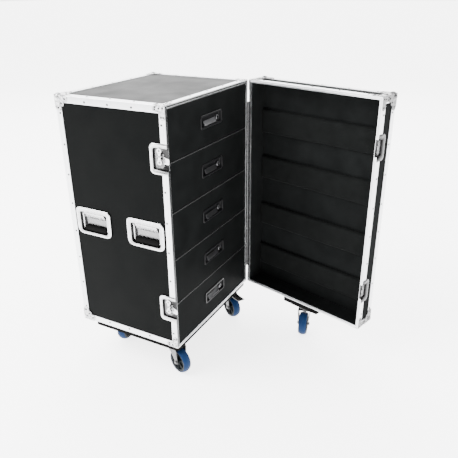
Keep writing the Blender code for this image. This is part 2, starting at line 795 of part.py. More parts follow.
def fork_shape(with_ears):
    """Swivel head, fork and axle from the swivel axis at the plate. The wheel trails towards -y."""
    axle_z = WHEEL_RADIUS - CASTOR_HEIGHT
    inner, outer = FORK_LEG
    fork = cylinder((0, 0, -CASTOR_PLATE[2] - GAP), (0, 0, -HEAD_DEPTH), HEAD_RADIUS, 20)
    join(fork, block((-outer, -CROWN[1], -CROWN[2] - LAP), (outer, CROWN[0], LAP / 2 - HEAD_DEPTH)))
    outline = [(CROWN[0] - 2 * LAP, -HEAD_DEPTH), (LAP - CROWN[1], -HEAD_DEPTH)]
    outline += arc((-TRAIL, axle_z), FORK_TIP_RADIUS, 180, 350)
    outline += [FORK_ELBOW]
    for side in (-1, 1):
        x = sorted((side * inner, side * outer))
        join(fork, prism(outline, *x, "x"))
        if with_ears:
            join(fork, block((x[0], EAR_Y[0], EAR_Z[0]), (x[1], EAR_Y[1], EAR_Z[1])))
    axle_end = outer + AXLE_OVERHANG
    return join(fork, cylinder((-axle_end, -TRAIL, axle_z), (axle_end, -TRAIL, axle_z), AXLE_RADIUS, 12))


def wheel_shape():
    """The tyre and its centre in one: the side face is dished by RIM_DISH between hub and tyre."""
    half, radius, bore = WHEEL_WIDTH / 2, WHEEL_RADIUS, AXLE_RADIUS + GAP
    profile = [
        (bore, -half),
        (WHEEL_HUB_RADIUS, -half),
        (WHEEL_HUB_RADIUS + RIM_DISH, RIM_DISH - half),
        (radius - TYRE_HEIGHT, RIM_DISH - half),
        (radius - 0.65 * TYRE_HEIGHT, -half),
        (radius - TREAD_ROUND / 3, TREAD_ROUND / 2 - half),
        (radius, TREAD_ROUND - half),
    ]
    profile += [(r, -x) for r, x in reversed(profile)]
    return turned_ring(profile, WHEEL_SIDES)


def pedal_shape():
    """The brake pedal, from its pivot pin along x, reaching past the wheel towards -y."""
    half, bend, toe = PEDAL_SHEET / 2, -0.64 * PEDAL_REACH, -PEDAL_REACH
    outline = [
        (PEDAL_SHEET, -half),
        (PEDAL_SHEET, half),
        (bend, half),
        (toe + half, PEDAL_RISE),
        (toe, half / 2),
        (bend, -half),
    ]
    pedal = prism(outline, -PEDAL_HALF_WIDTH, PEDAL_HALF_WIDTH, "x")
    pin = FORK_LEG[0] - GAP
    return join(pedal, cylinder((-pin, 0, 0), (pin, 0, 0), PEDAL_PIN_RADIUS, 10))


def castor(shapes, name, parent, place, heading, braked):
    """A swivel castor whose wheel trails in the direction that heading turns -y to."""
    fork, braked_fork, wheel, pedal = shapes
    shape = braked_fork if braked else fork
    hub = (0, -TRAIL, WHEEL_RADIUS - CASTOR_HEIGHT)
    at = (place[0], place[1], -BOARD_THICKNESS)
    swivel = name_part(copy_of(shape), f"{name}_fork", "zinc", parent, at, heading, smooth=True)
    name_part(copy_of(wheel), f"{name}_wheel", "tyre", swivel, hub, smooth=True)
    if braked:
        pin = (0, *PEDAL_PIVOT)
        name_part(copy_of(pedal), f"{name}_brake", "zinc", swivel, pin)


def castors(body, door):
    shapes = (fork_shape(False), fork_shape(True), wheel_shape(), pedal_shape())
    headings = {"front_left": -20, "front_right": -29, "rear_left": 98, "rear_right": 72}
    for name, place in body_castor_places().items():
        braked = name.endswith("right")
        castor(shapes, f"{name}_castor", body, place, headings[name], braked)
    door_place = (-sum(DOOR_BOARD) / 2, -DOOR_DEPTH / 2)
    castor(shapes, "door_castor", door, door_place, DOOR_CASTOR_HEADING - DOOR_OPEN, False)
    for shape in shapes:
        bpy.data.objects.remove(shape)


def build():
    clear_scene()
    floor = BOARD_THICKNESS + CASTOR_HEIGHT
    case = empty("case_origin", None, (-FOOTPRINT_CENTRE[0], -FOOTPRINT_CENTRE[1], floor))
    door = empty("door_hinge_line", case, (WIDTH + HINGE_OUT, 0, 0), DOOR_OPEN)
    closed_door = (-WIDTH - HINGE_OUT, 0, 0)
    side_panels(case)
    flat_panels(case)
    front_rim(case)
    body_edging(case)
    runner_set(case, "left_runners", False)
    runner_set(case, "right_runners", True)
    drawers(case)
    side_grips(case)
    door_panels(door, closed_door)
    door_rim(door, closed_door)
    door_edging(door, closed_door)
    door_foam(door, closed_door)
    latches(case, door)
    hinge(case, door)
    wheel_boards(case, door)
    castors(case, door)


build()
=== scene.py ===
"""The looks of an equipment rack case: five drawers, a deep door on a piano hinge and blue castors.

Pieces are laid out in the case's own frame, x to the right seen from the front, y towards the back
and z up from the left, front and bottom faces of the closed body. The door's frame is the same one,
turned open about the hinge. Lengths are in metres and angles in degrees.
"""

import json
import math

import bmesh
import bpy
from mathutils import Matrix, Vector, noise


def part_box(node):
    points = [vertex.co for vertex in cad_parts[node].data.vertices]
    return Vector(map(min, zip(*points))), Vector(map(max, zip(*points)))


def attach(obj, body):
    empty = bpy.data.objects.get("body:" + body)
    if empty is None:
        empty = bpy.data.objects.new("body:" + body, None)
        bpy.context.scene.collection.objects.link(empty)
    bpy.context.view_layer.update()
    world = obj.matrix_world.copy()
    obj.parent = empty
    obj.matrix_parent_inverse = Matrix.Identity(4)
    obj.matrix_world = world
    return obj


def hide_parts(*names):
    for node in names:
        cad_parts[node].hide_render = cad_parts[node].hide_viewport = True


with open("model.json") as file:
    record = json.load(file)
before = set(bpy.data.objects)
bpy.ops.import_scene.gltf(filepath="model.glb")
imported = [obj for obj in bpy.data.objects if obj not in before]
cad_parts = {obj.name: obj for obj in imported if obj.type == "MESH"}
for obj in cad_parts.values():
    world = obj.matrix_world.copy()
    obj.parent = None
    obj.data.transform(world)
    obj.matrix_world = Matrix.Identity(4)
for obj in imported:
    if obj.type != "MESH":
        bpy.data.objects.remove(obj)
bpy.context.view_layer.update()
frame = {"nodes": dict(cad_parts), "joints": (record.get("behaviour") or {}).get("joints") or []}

# The case, from the frame
RIM_FACE = 0.0012
SKIN = 0.0023
RIM_LOW, RIM_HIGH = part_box("front_rim")
ORIGIN = RIM_LOW - Vector((0, RIM_FACE, 0))
WIDTH = RIM_HIGH.x - RIM_LOW.x
HEIGHT = RIM_HIGH.z - RIM_LOW.z
BODY_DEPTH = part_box("back_panel")[1].y + SKIN - ORIGIN.y
JOINTS = {joint["name"]: joint for joint in frame["joints"]}
HINGE = Vector(JOINTS["door_hinge"]["pos_m"])
DOOR_OPEN = -JOINTS["door_hinge"]["range_deg"][0]
CASE = Matrix.Translation(ORIGIN)
OPENING = Matrix.Rotation(math.radians(DOOR_OPEN), 4, "Z")
DOOR = Matrix.Translation(HINGE) @ OPENING @ Matrix.Translation(ORIGIN - HINGE)
BOARD_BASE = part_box("body_wheel_board")[0].z

# Edging and its rivets
DOOR_DEPTH = 0.096
ALUMINIUM = 0.002
FLANGE = 0.025
EDGE_RADIUS = 0.003
RIM_LIP = 0.011
RIM_BACK = 0.008
GROOVE = (0.0046, 0.0078)
GROOVE_DEPTH = 0.004
TONGUE = (0.0052, 0.0072)
TONGUE_REACH = 0.0035
SIDE_GROOVE = (0.0092, 0.0106)
SIDE_GROOVE_DEPTH = 0.0008
RIVET_INSET = 0.0165
RIVET_RADIUS = 0.0038
RIVET_HEIGHT = 0.0013
RIVET_SPACING = 0.115
RIM_ROW = 0.0175
CORNER_CLEAR = 0.062
DEPTH_CLEAR = (0.129, 0.13)
JOINT_GAP = 0.0003

# The case's two ends across and upwards, each with the sign of its outward side
ENDS_X = ((0, -1), (WIDTH, 1))
ENDS_Z = ((0, -1), (HEIGHT, 1))

# Windows in the rims for the latches: how far back or forward each goes, and half its height
BODY_WINDOW = (0.0582, 0.0373)
DOOR_WINDOW = (-0.0302, 0.0303)
WINDOW_DEPTH = 0.0095
HOOK_ROOM = 0.0383
CUT_PAST = 0.01

# Ball corners and corner braces
BALL_INSET = 0.01
BALL_RADIUS = 0.0162
CORNER_SHEET = 0.0012
CORNER_LOBES = ((0.044, 0.0125, 0.0125), (0.028, 0.028, 0.011))
BRACE_SHEET = 0.0012
BRACE_LENGTH = 0.048
BRACE_WIDTH = 0.021

# Grips, latches, drawers, foam and hinge
GRIP_Y = (0.1105, 0.342)
GRIP_Z = 0.446
GRIP_PIVOT = (0.0088, 0, 0.027)
GRIP_DROP = 0.0575
LATCH_Z = {"upper": 0.727, "lower": 0.166}
LATCH_HUB = (0.03, 0.01)
LOBE_AT = 0.019
HOOK_PIVOT = (0.0042, 0.019)
HOOK_LIFT = 20.0
DISH_SHEET = 0.0011
DRAWERS = 5
FOAM_BARS = 4
PULL_POCKET = (0.07, 0.019, 0.009)
PULL_LEVER = (-0.052, 0.03)
LOCK_X = 0.044
PULL_HINGE = (0, 0.004, 0.002)
HINGE_SPAN = (0.08, 0.815)
KNUCKLES = 49

# Castors
PLATE_THICKNESS = 0.003
CASTOR_PLATE = (0.105, 0.085)
WHEEL_RADIUS = 0.05
WHEEL_WIDTH = 0.034
TRAIL = 0.036
CASTOR_HEIGHT = 0.128
AXLE_Z = WHEEL_RADIUS - CASTOR_HEIGHT
BRAKE_PIN = (0, -0.034, -0.012)
LEG_INSIDE = 0.0188
LEG_SHEET = 0.0025
LEG_LEAN = 0.0055
CROWN_BOTTOM = -0.016
BOLT_SPREAD = (0.04, 0.03)
CASTORS = ("front_left", "front_right", "rear_left", "rear_right", "door")

# Camera
CAMERA_PLACE = (-1.6741, -0.86855, 1.36795)
CAMERA_YAW = 61.927
CAMERA_PITCH = 24.237
CAMERA_ROLL = -0.4417
CAMERA_LENS = 41.71

# Studio light, with each lamp's place, target, size and power
KEY_LIGHT = ((-2.6, 2.6, 4.2), (0, 0, 0.5), (3.0, 3.0), 520)
BACK_LIGHT = ((4.5, 2.4, 3.4), (0, 0, 0.8), (5.0, 2.5), 300)
UNLIT_SIDE = (-0.78, -0.52, 0.35)
SURROUND_LIGHT = 3.8
SURROUND_DARK = 0.3
FLOOR_GLOW = 3.6
FLOOR_SIZE = 150


# Matrices


def move(*by):
    return Matrix.Translation(by)


def turned(angle, axis="Z"):
    return Matrix.Rotation(math.radians(angle), 4, axis)


# Shapes, each added to a bmesh


def add_block(bm, low, high, turn=Matrix.Identity(4)):
    size = [b - a for a, b in zip(low, high)]
    middle = [(a + b) / 2 for a, b in zip(low, high)]
    matrix = turn @ move(*middle) @ Matrix.Diagonal((*size, 1))
    bmesh.ops.create_cube(bm, size=1.0, matrix=matrix)


def add_prism(bm, outline, low, high, axis):
    """The outline, given in the other two axes in their order, extruded along axis from low to high."""
    def place(point, level):
        coords = list(point)
        coords.insert("xyz".index(axis), level)
        return bm.verts.new(coords)

    bottom = [place(p, low) for p in outline]
    top = [place(p, high) for p in outline]
    bm.faces.new(bottom)
    bm.faces.new(top)
    bridge(bm, bottom, top)


def bridge(bm, here, there):
    """Quads between two closed loops of the same number of vertices."""
    for i in range(len(here)):
        j = (i + 1) % len(here)
        bm.faces.new((here[i], here[j], there[j], there[i]))


def skin(bm, rings, filled=(0, -1)):
    """Quads from each closed loop of vertices to the next, and a face in each of those that are filled."""
    for here, there in zip(rings, rings[1:]):
        bridge(bm, here, there)
    for n in filled:
        bm.faces.new(rings[n])


def add_grid(bm, rows):
    """Quads over rows of vertices, each row with the same number of them."""
    for here, there in zip(rows, rows[1:]):
        for n in range(len(here) - 1):
            bm.faces.new((here[n], there[n], there[n + 1], here[n + 1]))


def round_over(distance, radius):
    """How far a surface has risen, from 0 to 1, at a distance in from an edge of that radius."""
    return math.sqrt(max(0.0, 1 - (1 - min(distance / radius, 1)) ** 2))


def arc(centre, radius, start, end, steps=8):
    points = []
    for i in range(steps + 1):
        a = math.radians(start + (end - start) * i / steps)
        points.append((centre[0] + radius * math.cos(a), centre[1] + radius * math.sin(a)))
    return points


def rounded_loop(low, high, low_radius, high_radius=None):
    """Points round a rectangle, with one radius for the corners at low b and one for those at high b."""
    high_radius = low_radius if high_radius is None else high_radius
    (a0, b0), (a1, b1) = low, high
    r, s = low_radius, high_radius
    steps = 6
    points = arc((a0 + r, b0 + r), r, 180, 270, steps)
    points += arc((a1 - r, b0 + r), r, 270, 360, steps)
    points += arc((a1 - s, b1 - s), s, 0, 90, steps)
    return points + arc((a0 + s, b1 - s), s, 90, 180, steps)


def add_lathe(bm, profile, sides, at=(0, 0, 0), axis=(0, 0, 1), ring=False):
    """A profile of (radius, height) points turned about an axis. A radius of 0 closes an end.

    With ring, the profile is a closed one, for a shape with a hole through it.
    """
    rings = []
    for radius, height in profile:
        if radius == 0:
            rings.append([bm.verts.new((0, 0, height))])
        else:
            turn = 2 * math.pi / sides
            rings.append([
                bm.verts.new((radius * math.cos(i * turn), radius * math.sin(i * turn), height))
                for i in range(sides)
            ])
    following = rings[1:] + rings[:1] if ring else rings[1:]
    for here, there in zip(rings, following):
        if len(here) > 1 and len(there) > 1:
            bridge(bm, here, there)
        else:
            point, around = (here[0], there) if len(here) == 1 else (there[0], here)
            for i in range(sides):
                bm.faces.new((point, around[i], around[(i + 1) % sides]))
    turn = Vector((0, 0, 1)).rotation_difference(Vector(axis)).to_matrix().to_4x4()
    made = [vertex for loop in rings for vertex in loop]
    bmesh.ops.transform(bm, matrix=move(*at) @ turn, verts=made)


def add_rivet(bm, at, outward, radius=RIVET_RADIUS, height=RIVET_HEIGHT):
    profile = [
        (0, -0.0002), (radius, -0.0002), (radius, 0.25 * height), (0.86 * radius, 0.62 * height),
        (0.55 * radius, 0.9 * height), (0, height),
    ]
    add_lathe(bm, profile, 14, at, outward)


def add_left_rivets(bm, x, places, radius, height):
    """Rivets whose heads face -x, at places of (y, z)."""
    for y, z in places:
        add_rivet(bm, (x, y, z), (-1, 0, 0), radius, height)


def add_bolt_head(bm, at, outward, across, height):
    """A hexagon head on its washer."""
    add_lathe(bm, [(0, 0), (0.72 * across, 0), (0.72 * across, 0.0012), (0, 0.0012)], 20, at, outward)
    half = across / 2 / math.cos(math.radians(30))
    profile = [(0, 0.001), (half, 0.001), (half, height - 0.0008), (0.88 * half, height), (0, height)]
    add_lathe(bm, profile, 6, at, outward)


def add_tube(bm, path, radius, sides=12):
    """A round bar along a path of points, with flat ends."""
    path = [Vector(p) for p in path]
    across = (path[1] - path[0]).orthogonal().normalized()
    rings = []
    for i, point in enumerate(path):
        ahead = path[min(i + 1, len(path) - 1)] - path[max(i - 1, 0)]
        ahead.normalize()
        across = (across - ahead * across.dot(ahead)).normalized()
        up = ahead.cross(across)
        rings.append([
            bm.verts.new(point + radius * (across * math.cos(a) + up * math.sin(a)))
            for a in (2 * math.pi * k / sides for k in range(sides))
        ])
    skin(bm, rings)


def add_stamping(bm, loops):
    """A pressed sheet through closed loops of points, the last of which is filled."""
    skin(bm, [[bm.verts.new(p) for p in loop] for loop in loops], filled=(-1,))


def dish_loops(steps):
    """Loops for a dish that opens to -x. A step is (x, half width, low z, high z, radii low and high)."""
    loops = []
    for x, half, low, high, low_radius, high_radius in steps:
        flat = rounded_loop((-half, low), (half, high), low_radius, high_radius)
        loops.append([(x, y, z) for y, z in flat])
    return loops


# Pieces and what they are cut from


def add_object(name, data):
    made = bpy.data.objects.new(name, data)
    bpy.context.scene.collection.objects.link(made)
    return made


def mesh_from(name, bm):
    """The bmesh's shape as a mesh with its faces turned outwards. It frees the bmesh."""
    bmesh.ops.recalc_face_normals(bm, faces=bm.faces)
    mesh = bpy.data.meshes.new(name)
    bm.to_mesh(mesh)
    bm.free()
    return mesh


def piece(name, bm, finish, body, where, bevel=0.0, thickness=0.0, stands_for=(), sharp=35):
    """Turns bm into a finished piece that rides on a body."""
    mesh = mesh_from(name, bm)
    made = add_object(name, mesh)
    material, slot = finish
    mesh.materials.append(material)
    mesh.shade_smooth()
    mesh.set_sharp_from_angle(angle=math.radians(sharp))
    if thickness:
        sheet = made.modifiers.new("thickness", "SOLIDIFY")
        sheet.thickness = thickness
        sheet.offset = 0
    if bevel:
        add_bevel(made, bevel)
    made.matrix_world = where
    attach(made, body)
    if stands_for:
        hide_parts(*stands_for)
    return made


def add_bevel(made, width, segments=2):
    edge = made.modifiers.new("soft edges", "BEVEL")
    edge.width = width
    edge.segments = segments
    edge.limit_method = "ANGLE"
    edge.angle_limit = math.radians(40)
    edge.harden_normals = True


def loose_object(bm):
    """A scratch object that takes the shape in bm."""
    return add_object("scratch", mesh_from("scratch", bm))


def boolean_cut(base_bm, boxes):
    """base_bm with boxes taken out of it, one at a time."""
    base = loose_object(base_bm)
    for low, high in boxes:
        bm = bmesh.new()
        add_block(bm, low, high)
        tool = loose_object(bm)
        modifier = base.modifiers.new("cut", "BOOLEAN")
        modifier.operation = "DIFFERENCE"
        modifier.object = tool
        bpy.context.view_layer.update()
        graph = bpy.context.evaluated_depsgraph_get()
        shaped = bpy.data.meshes.new_from_object(base.evaluated_get(graph))
        base.modifiers.clear()
        base.data = shaped
        bpy.data.objects.remove(tool)
    result = bmesh.new()
    result.from_mesh(base.data)
    bpy.data.objects.remove(base)
    return result


# Materials


def set_inputs(node, values):
    for name, value in values.items():
        node.inputs[name].default_value = value


def add_node(tree, kind, values, links):
    """A shader node with values set and other nodes' outputs linked, each by its input's name."""
    made = tree.nodes.new(kind)
    set_inputs(made, values)
    for name, output in links.items():
        tree.links.new(output, made.inputs[name])
    return made


def shader_of(material):
    return material.node_tree.nodes["Principled BSDF"]


def object_coordinates(tree, stretch=(1, 1, 1)):
    coordinates = tree.nodes.new("ShaderNodeTexCoord").outputs["Object"]
    return add_node(tree, "ShaderNodeMapping", {"Scale": stretch}, {"Vector": coordinates}).outputs["Vector"]


def noise_value(tree, vector, scale, detail, roughness=0.5):
    values = {"Scale": scale, "Detail": detail, "Roughness": roughness}
    return add_node(tree, "ShaderNodeTexNoise", values, {"Vector": vector}).outputs["Fac"]


def spread(tree, value, low, high, start=0.3, end=0.7):
    """value mapped from start to end onto low to high."""
    values = {"From Min": start, "From Max": end, "To Min": low, "To Max": high}
    return add_node(tree, "ShaderNodeMapRange", values, {"Value": value}).outputs["Result"]


def colour_ramp(tree, value, stops):
    """A colour that runs through stops, each a position and a colour, as value grows."""
    ramp = add_node(tree, "ShaderNodeValToRGB", {}, {"Fac": value})
    shades = ramp.color_ramp.elements
    while len(shades) < len(stops):
        shades.new(1.0)
    for shade, (position, colour) in zip(shades, stops):
        shade.position = position
        shade.color = (*colour, 1)
    return ramp.outputs["Color"]


def two_tone(tree, value, dark, light):
    return colour_ramp(tree, value, ((0.3, dark), (0.7, light)))


def add_bump(tree, shader, height, strength, distance):
    values = {"Strength": strength, "Distance": distance}
    bump = add_node(tree, "ShaderNodeBump", values, {"Height": height})
    tree.links.new(bump.outputs["Normal"], shader.inputs["Normal"])


def mottled(name, slot, colour, roughness, mottle, tones=None, gloss=None, bump=None, grain=None,
            metallic=0.0, specular=0.5, stretch=(1, 1, 1)):
    """A material and its slot. The material's colour and roughness wander with a noise, the mottle.

    mottle is the noise's scale, its detail and, if it is not 0.5, its roughness. tones are the dark and
    the light colour, and gloss the lowest and highest roughness. bump is a strength and a distance, for
    a relief in the mottle itself or, with grain, in a finer noise of that scale and detail.
    """
    material = bpy.data.materials.new(name)
    material.use_nodes = True
    tree, shader = material.node_tree, shader_of(material)
    set_inputs(shader, {"Base Color": (*colour, 1), "Roughness": roughness})
    set_inputs(shader, {"Metallic": metallic, "Specular IOR Level": specular})
    vector = object_coordinates(tree, stretch)
    value = noise_value(tree, vector, *mottle)
    if tones:
        tree.links.new(two_tone(tree, value, *tones), shader.inputs["Base Color"])
    if gloss:
        tree.links.new(spread(tree, value, *gloss), shader.inputs["Roughness"])
    if bump:
        relief = noise_value(tree, vector, *grain) if grain else value
        add_bump(tree, shader, relief, *bump)
    return material, slot


def tinted(grey, green, blue):
    """A grey with its green and blue raised by these factors."""
    return (grey, green * grey, blue * grey)


def laminate():
    """Satin phenolic film on plywood: black, faintly mottled, with a fine pebbled surface."""
    tones = ((0.0016, 0.0019, 0.0019), (0.0027, 0.003, 0.0029))
    return mottled("black_laminate", "black_laminate", (0.002, 0.0023, 0.0023), 0.36, (9.0, 4.0), tones,
                   gloss=(0.32, 0.42), bump=(0.1, 0.0004), grain=(700.0, 2.0), specular=0.018)


def anodised(name, grey):
    """Anodised extrusion with faint drawn streaks and scuffs about a grey."""
    tones = (tinted(0.92 * grey, 1.01, 1.03), tinted(1.08 * grey, 1.01, 1.02))
    return mottled(name, "edging_aluminium", (grey, grey, grey), 0.34, (60.0, 6.0, 0.65), tones,
                   gloss=(0.28, 0.42), bump=(0.06, 0.0003), grain=(1400.0, 2.0), metallic=1.0)


def zinc(name, low, high):
    """Bright zinc plate on pressed steel, mottled between a low and a high grey."""
    tones = (tinted(low, 1, 1.02), tinted(high, 1, 1.01))
    return mottled(name, "zinc_plate", (high, high, high), 0.27, (120.0, 5.0, 0.6), tones,
                   gloss=(0.2, 0.36), bump=(0.08, 0.0004), grain=(500.0, 3.0), metallic=1.0)


def zinc_with_painted_recess_shade(name, stops):
    """Zinc plate of a pressed dish, with painted shade that darkens it with depth into the recess: stops are
    (depth along x, grey) in order.
    """
    material, slot = zinc(name, 0.55, 1.0)
    tree, shader = material.node_tree, shader_of(material)
    start, end = stops[0][0], stops[-1][0]
    axes = add_node(tree, "ShaderNodeSeparateXYZ", {}, {"Vector": object_coordinates(tree)})
    depth = spread(tree, axes.outputs["X"], 0.0, 1.0, start, end)
    shades = [((x - start) / (end - start), (grey, grey, grey)) for x, grey in stops]
    both = tree.nodes.new("ShaderNodeVectorMath")
    both.operation = "MULTIPLY"
    tree.links.new(shader.inputs["Base Color"].links[0].from_socket, both.inputs[0])
    tree.links.new(colour_ramp(tree, depth, shades), both.inputs[1])
    tree.links.new(both.outputs["Vector"], shader.inputs["Base Color"])
    return material, slot


def chrome():
    return mottled("pull_chrome", "pull_chrome", (0.15, 0.15, 0.155), 0.36, (80.0, 4.0), gloss=(0.3, 0.44),
                   metallic=1.0)


def runner_steel():
    """Galvanised runner: duller steel with rolling marks along the case's depth."""
    return mottled("runner_steel", "runner_steel", (0.55, 0.56, 0.57), 0.38, (2.0, 4.0), gloss=(0.3, 0.48),
                   bump=(0.08, 0.0003), metallic=1.0, stretch=(200, 8, 200))


def faced_board(name, grey, specular):
    """Black film-faced board with a fine grain."""
    tones = (tinted(0.8 * grey, 1.08, 1.08), tinted(1.2 * grey, 1.08, 1.08))
    return mottled(name, name, (grey, grey, grey), 0.42, (14.0, 4.0), tones, gloss=(0.38, 0.5),
                   bump=(0.12, 0.0004), grain=(900.0, 2.0), specular=specular)


def top_edge_highlight():
    """A lighter grey plastic for a strip on each drawer front's top edge: a painted highlight where that
    edge catches the light.
    """
    return mottled("top_edge_highlight", "drawer_board", (0.05, 0.05, 0.05), 0.45, (300.0, 3.0), gloss=(0.38, 0.52),
                   specular=0.2)


def painted_board():
    """Plywood painted black: the plies show through as faint lines along its edges."""
    tones = ((0.0018, 0.0018, 0.0018), (0.0038, 0.0036, 0.0034))
    return mottled("board_black", "board_black", (0.0025, 0.0025, 0.0025), 0.55, (1.0, 3.0), tones,
                   bump=(0.25, 0.0006), specular=0.015, stretch=(6, 6, 420))


def grip_rubber():
    return mottled("grip_rubber", "grip_rubber", (0.003, 0.003, 0.003), 0.62, (900.0, 3.0),
                   gloss=(0.52, 0.72), bump=(0.2, 0.0004), specular=0.02)


def black_plastic():
    """Moulded black plastic with a spark-eroded texture."""
    return mottled("pull_plastic", "drawer_board", (0.006, 0.006, 0.0065), 0.4, (1200.0, 2.0),
                   gloss=(0.32, 0.48), bump=(0.15, 0.0003), specular=0.2)


def foam():
    """Charcoal closed-cell foam: round cells a millimetre or two across and a soft sheen."""
    tones = ((0.0022, 0.0026, 0.0025), (0.0038, 0.0043, 0.0042))
    material, slot = mottled("door_foam", "door_foam", (0.004, 0.004, 0.0042), 0.92, (25.0, 4.0), tones,
                             specular=0.08)
    tree, shader = material.node_tree, shader_of(material)
    set_inputs(shader, {"Sheen Weight": 0.006})
    cells = add_node(tree, "ShaderNodeTexVoronoi", {"Scale": 600.0}, {"Vector": object_coordinates(tree)})
    add_bump(tree, shader, cells.outputs["Distance"], 0.5, 0.0008)
    return material, slot


def blue_tyre():
    """Blue elastic rubber, a little dusty, with fine moulding grain."""
    tones = ((0.004, 0.018, 0.06), (0.007, 0.026, 0.082))
    return mottled("wheel_blue", "wheel_blue", (0.005, 0.022, 0.07), 0.45, (45.0, 5.0, 0.6), tones,
                   gloss=(0.38, 0.58), bump=(0.12, 0.0004), grain=(800.0, 2.0), specular=0.08)


def wheel_rim():
    """The wheel's moulded centre in dark grey nylon."""
    return mottled("wheel_centre", "wheel_blue", (0.004, 0.006, 0.007), 0.38, (300.0, 3.0),
                   gloss=(0.3, 0.46), bump=(0.08, 0.0003), specular=0.08)


def dark_steel():
    """Blackened steel for the locks' cores."""
    return mottled("dark_steel", "drawer_board", (0.03, 0.03, 0.032), 0.35, (400.0, 3.0), gloss=(0.28, 0.48),
                   metallic=0.8)


LAMINATE = laminate()
ANODISED = anodised("edging_aluminium", 0.72)
# A darker aluminium: painted shade for the faces of the rims' uprights inside the joint.
SHADED_ALUMINIUM = anodised("shaded_aluminium", 0.16)[0]
# A near-black aluminium: painted shade for the body rim's closing groove.
GROOVE_SHADE = anodised("groove_painted_shade", 0.012)[0]
ZINC = zinc("zinc_plate", 0.45, 0.8)
DULL_ZINC = zinc("dull_zinc", 0.05, 0.18)
LATCH_STEEL = zinc("latch_steel", 0.02, 0.28)
# The dishes' zinc has painted shade: near black from just inside the lip down the walls, a little lighter on
# the floor.
GRIP_ZINC = zinc_with_painted_recess_shade("grip_zinc", (
    (-0.0031, 0.8), (-0.0014, 0.55), (-0.0008, 0.02), (0.004, 0.03),
    (0.008, 0.12), (0.0155, 0.16), (0.0174, 0.26),
))
LATCH_ZINC = zinc_with_painted_recess_shade("latch_zinc", (
    (-0.0031, 0.8), (-0.0014, 0.5), (-0.0008, 0.012), (0.005, 0.012), (0.0062, 0.04), (0.007, 0.08),
))
# The door's catch is darker all over, its flange too: painted shade for the door's side, on top of the
# painted shade deepening into its recess.
CATCH_ZINC = zinc_with_painted_recess_shade("catch_zinc", (
    (-0.0031, 0.12), (-0.0014, 0.07), (-0.0008, 0.02), (0.005, 0.015), (0.007, 0.06),
))
CORNER_ZINC = zinc("corner_zinc", 0.02, 0.8)
# The door's ball corners and braces take a darker copy of the corner zinc: painted shade, as they face away
# from the light.
SHADED_DOOR_CORNER_ZINC = zinc("shaded_door_corner_zinc", 0.01, 0.22)
# Near-black rivets: partly a darker steel than the flanges, partly painted shade and painted dark
# reflection.
RIVET_STEEL = zinc("rivet_steel", 0.012, 0.03)
HINGE_STEEL = zinc("hinge_steel", 0.07, 0.12)
CHROME = chrome()
RUNNER_STEEL = runner_steel()
DRAWER_BOARD = faced_board("drawer_board", 0.0052, 0.004)
DOOR_BOARD = faced_board("door_board", 0.0066, 0.002)
TOP_EDGE_HIGHLIGHT = top_edge_highlight()
PAINTED_BOARD = painted_board()
GRIP_RUBBER = grip_rubber()
BLACK_PLASTIC = black_plastic()
FOAM = foam()
BLUE_TYRE = blue_tyre()
WHEEL_RIM = wheel_rim()
DARK_STEEL = dark_steel()


def finish_nodes(names, finish, bevel):
    """CAD nodes whose shapes stay: a better material and soft edges."""
    for name in names:
        node = frame["nodes"][name]
        for slot in node.material_slots:
            slot.material = finish[0]
        add_bevel(node, bevel)


def carried_over_nodes():
    panels = ("left_panel", "right_panel", "top_panel", "bottom_panel", "back_panel")
    finish_nodes(panels, LAMINATE, 0.0003)
    finish_nodes(("door_side_walls", "door_face_panel"), DOOR_BOARD, 0.0003)
    finish_nodes(("left_runners", "right_runners"), RUNNER_STEEL, 0.0005)
    finish_nodes([f"drawer_{n + 1}" for n in range(DRAWERS)], DRAWER_BOARD, 0.0014)


# Edging


def edge_strip(bm, low, high, axis, sides, ends):
    """An angle with a round outer edge along one edge of the box from low to high.

    sides says for the other two axes, in order, whether the edge is at the box's low or high side.
    ends are how far along the axis the strip goes, and whether each end is mitred.
    """
    k = "xyz".index(axis)
    i, j = [n for n in range(3) if n != k]
    outline = [(FLANGE, 0), *arc((EDGE_RADIUS, EDGE_RADIUS), EDGE_RADIUS, 270, 180, 4), (0, FLANGE)]
    outline += [(ALUMINIUM, FLANGE), (ALUMINIUM, ALUMINIUM), (FLANGE, ALUMINIUM)]
    rings = []
    for (level, mitred), inwards in zip(ends, (1, -1)):
        ring = []
        for a, b in outline:
            point = [0, 0, 0]
            point[i] = high[i] - a if sides[0] else low[i] + a
            point[j] = high[j] - b if sides[1] else low[j] + b
            point[k] = level + (inwards * max(a, b) if mitred else 0)
            ring.append(bm.verts.new(point))
        rings.append(ring)
    skin(bm, rings)


def outer_edging(name, body, where, face_y, open_y, stands_for):
    """The angles round one face of the case and along its corners, each its own mitred strip."""
    low = (0, min(face_y, open_y), 0)
    high = (WIDTH, max(face_y, open_y), HEIGHT)
    at_back = face_y > open_y
    bm = bmesh.new()
    for side in (0, 1):
        edge_strip(bm, low, high, "z", (side, at_back), ((0, True), (HEIGHT, True)))
        edge_strip(bm, low, high, "x", (at_back, side), ((0, True), (WIDTH, True)))
        for top in (0, 1):
            ends = ((open_y, False), (face_y, True)) if at_back else ((face_y, True), (open_y, False))
            edge_strip(bm, low, high, "y", (side, top), ends)
    piece(name, bm, ANODISED, body, where, stands_for=stands_for)


def edge_loop(profile):
    """A closed profile of (inset, y) points carried round the case's rectangle with mitred corners."""
    bm = bmesh.new()
    corners = []
    for right, top in ((0, 0), (1, 0), (1, 1), (0, 1)):
        ring = []
        for inset, y in profile:
            x = WIDTH - inset if right else inset
            z = HEIGHT - inset if top else inset
            ring.append(bm.verts.new((x, y, z)))
        corners.append(ring)
    for n in range(4):
        bridge(bm, corners[n], corners[(n + 1) % 4])
    return bm


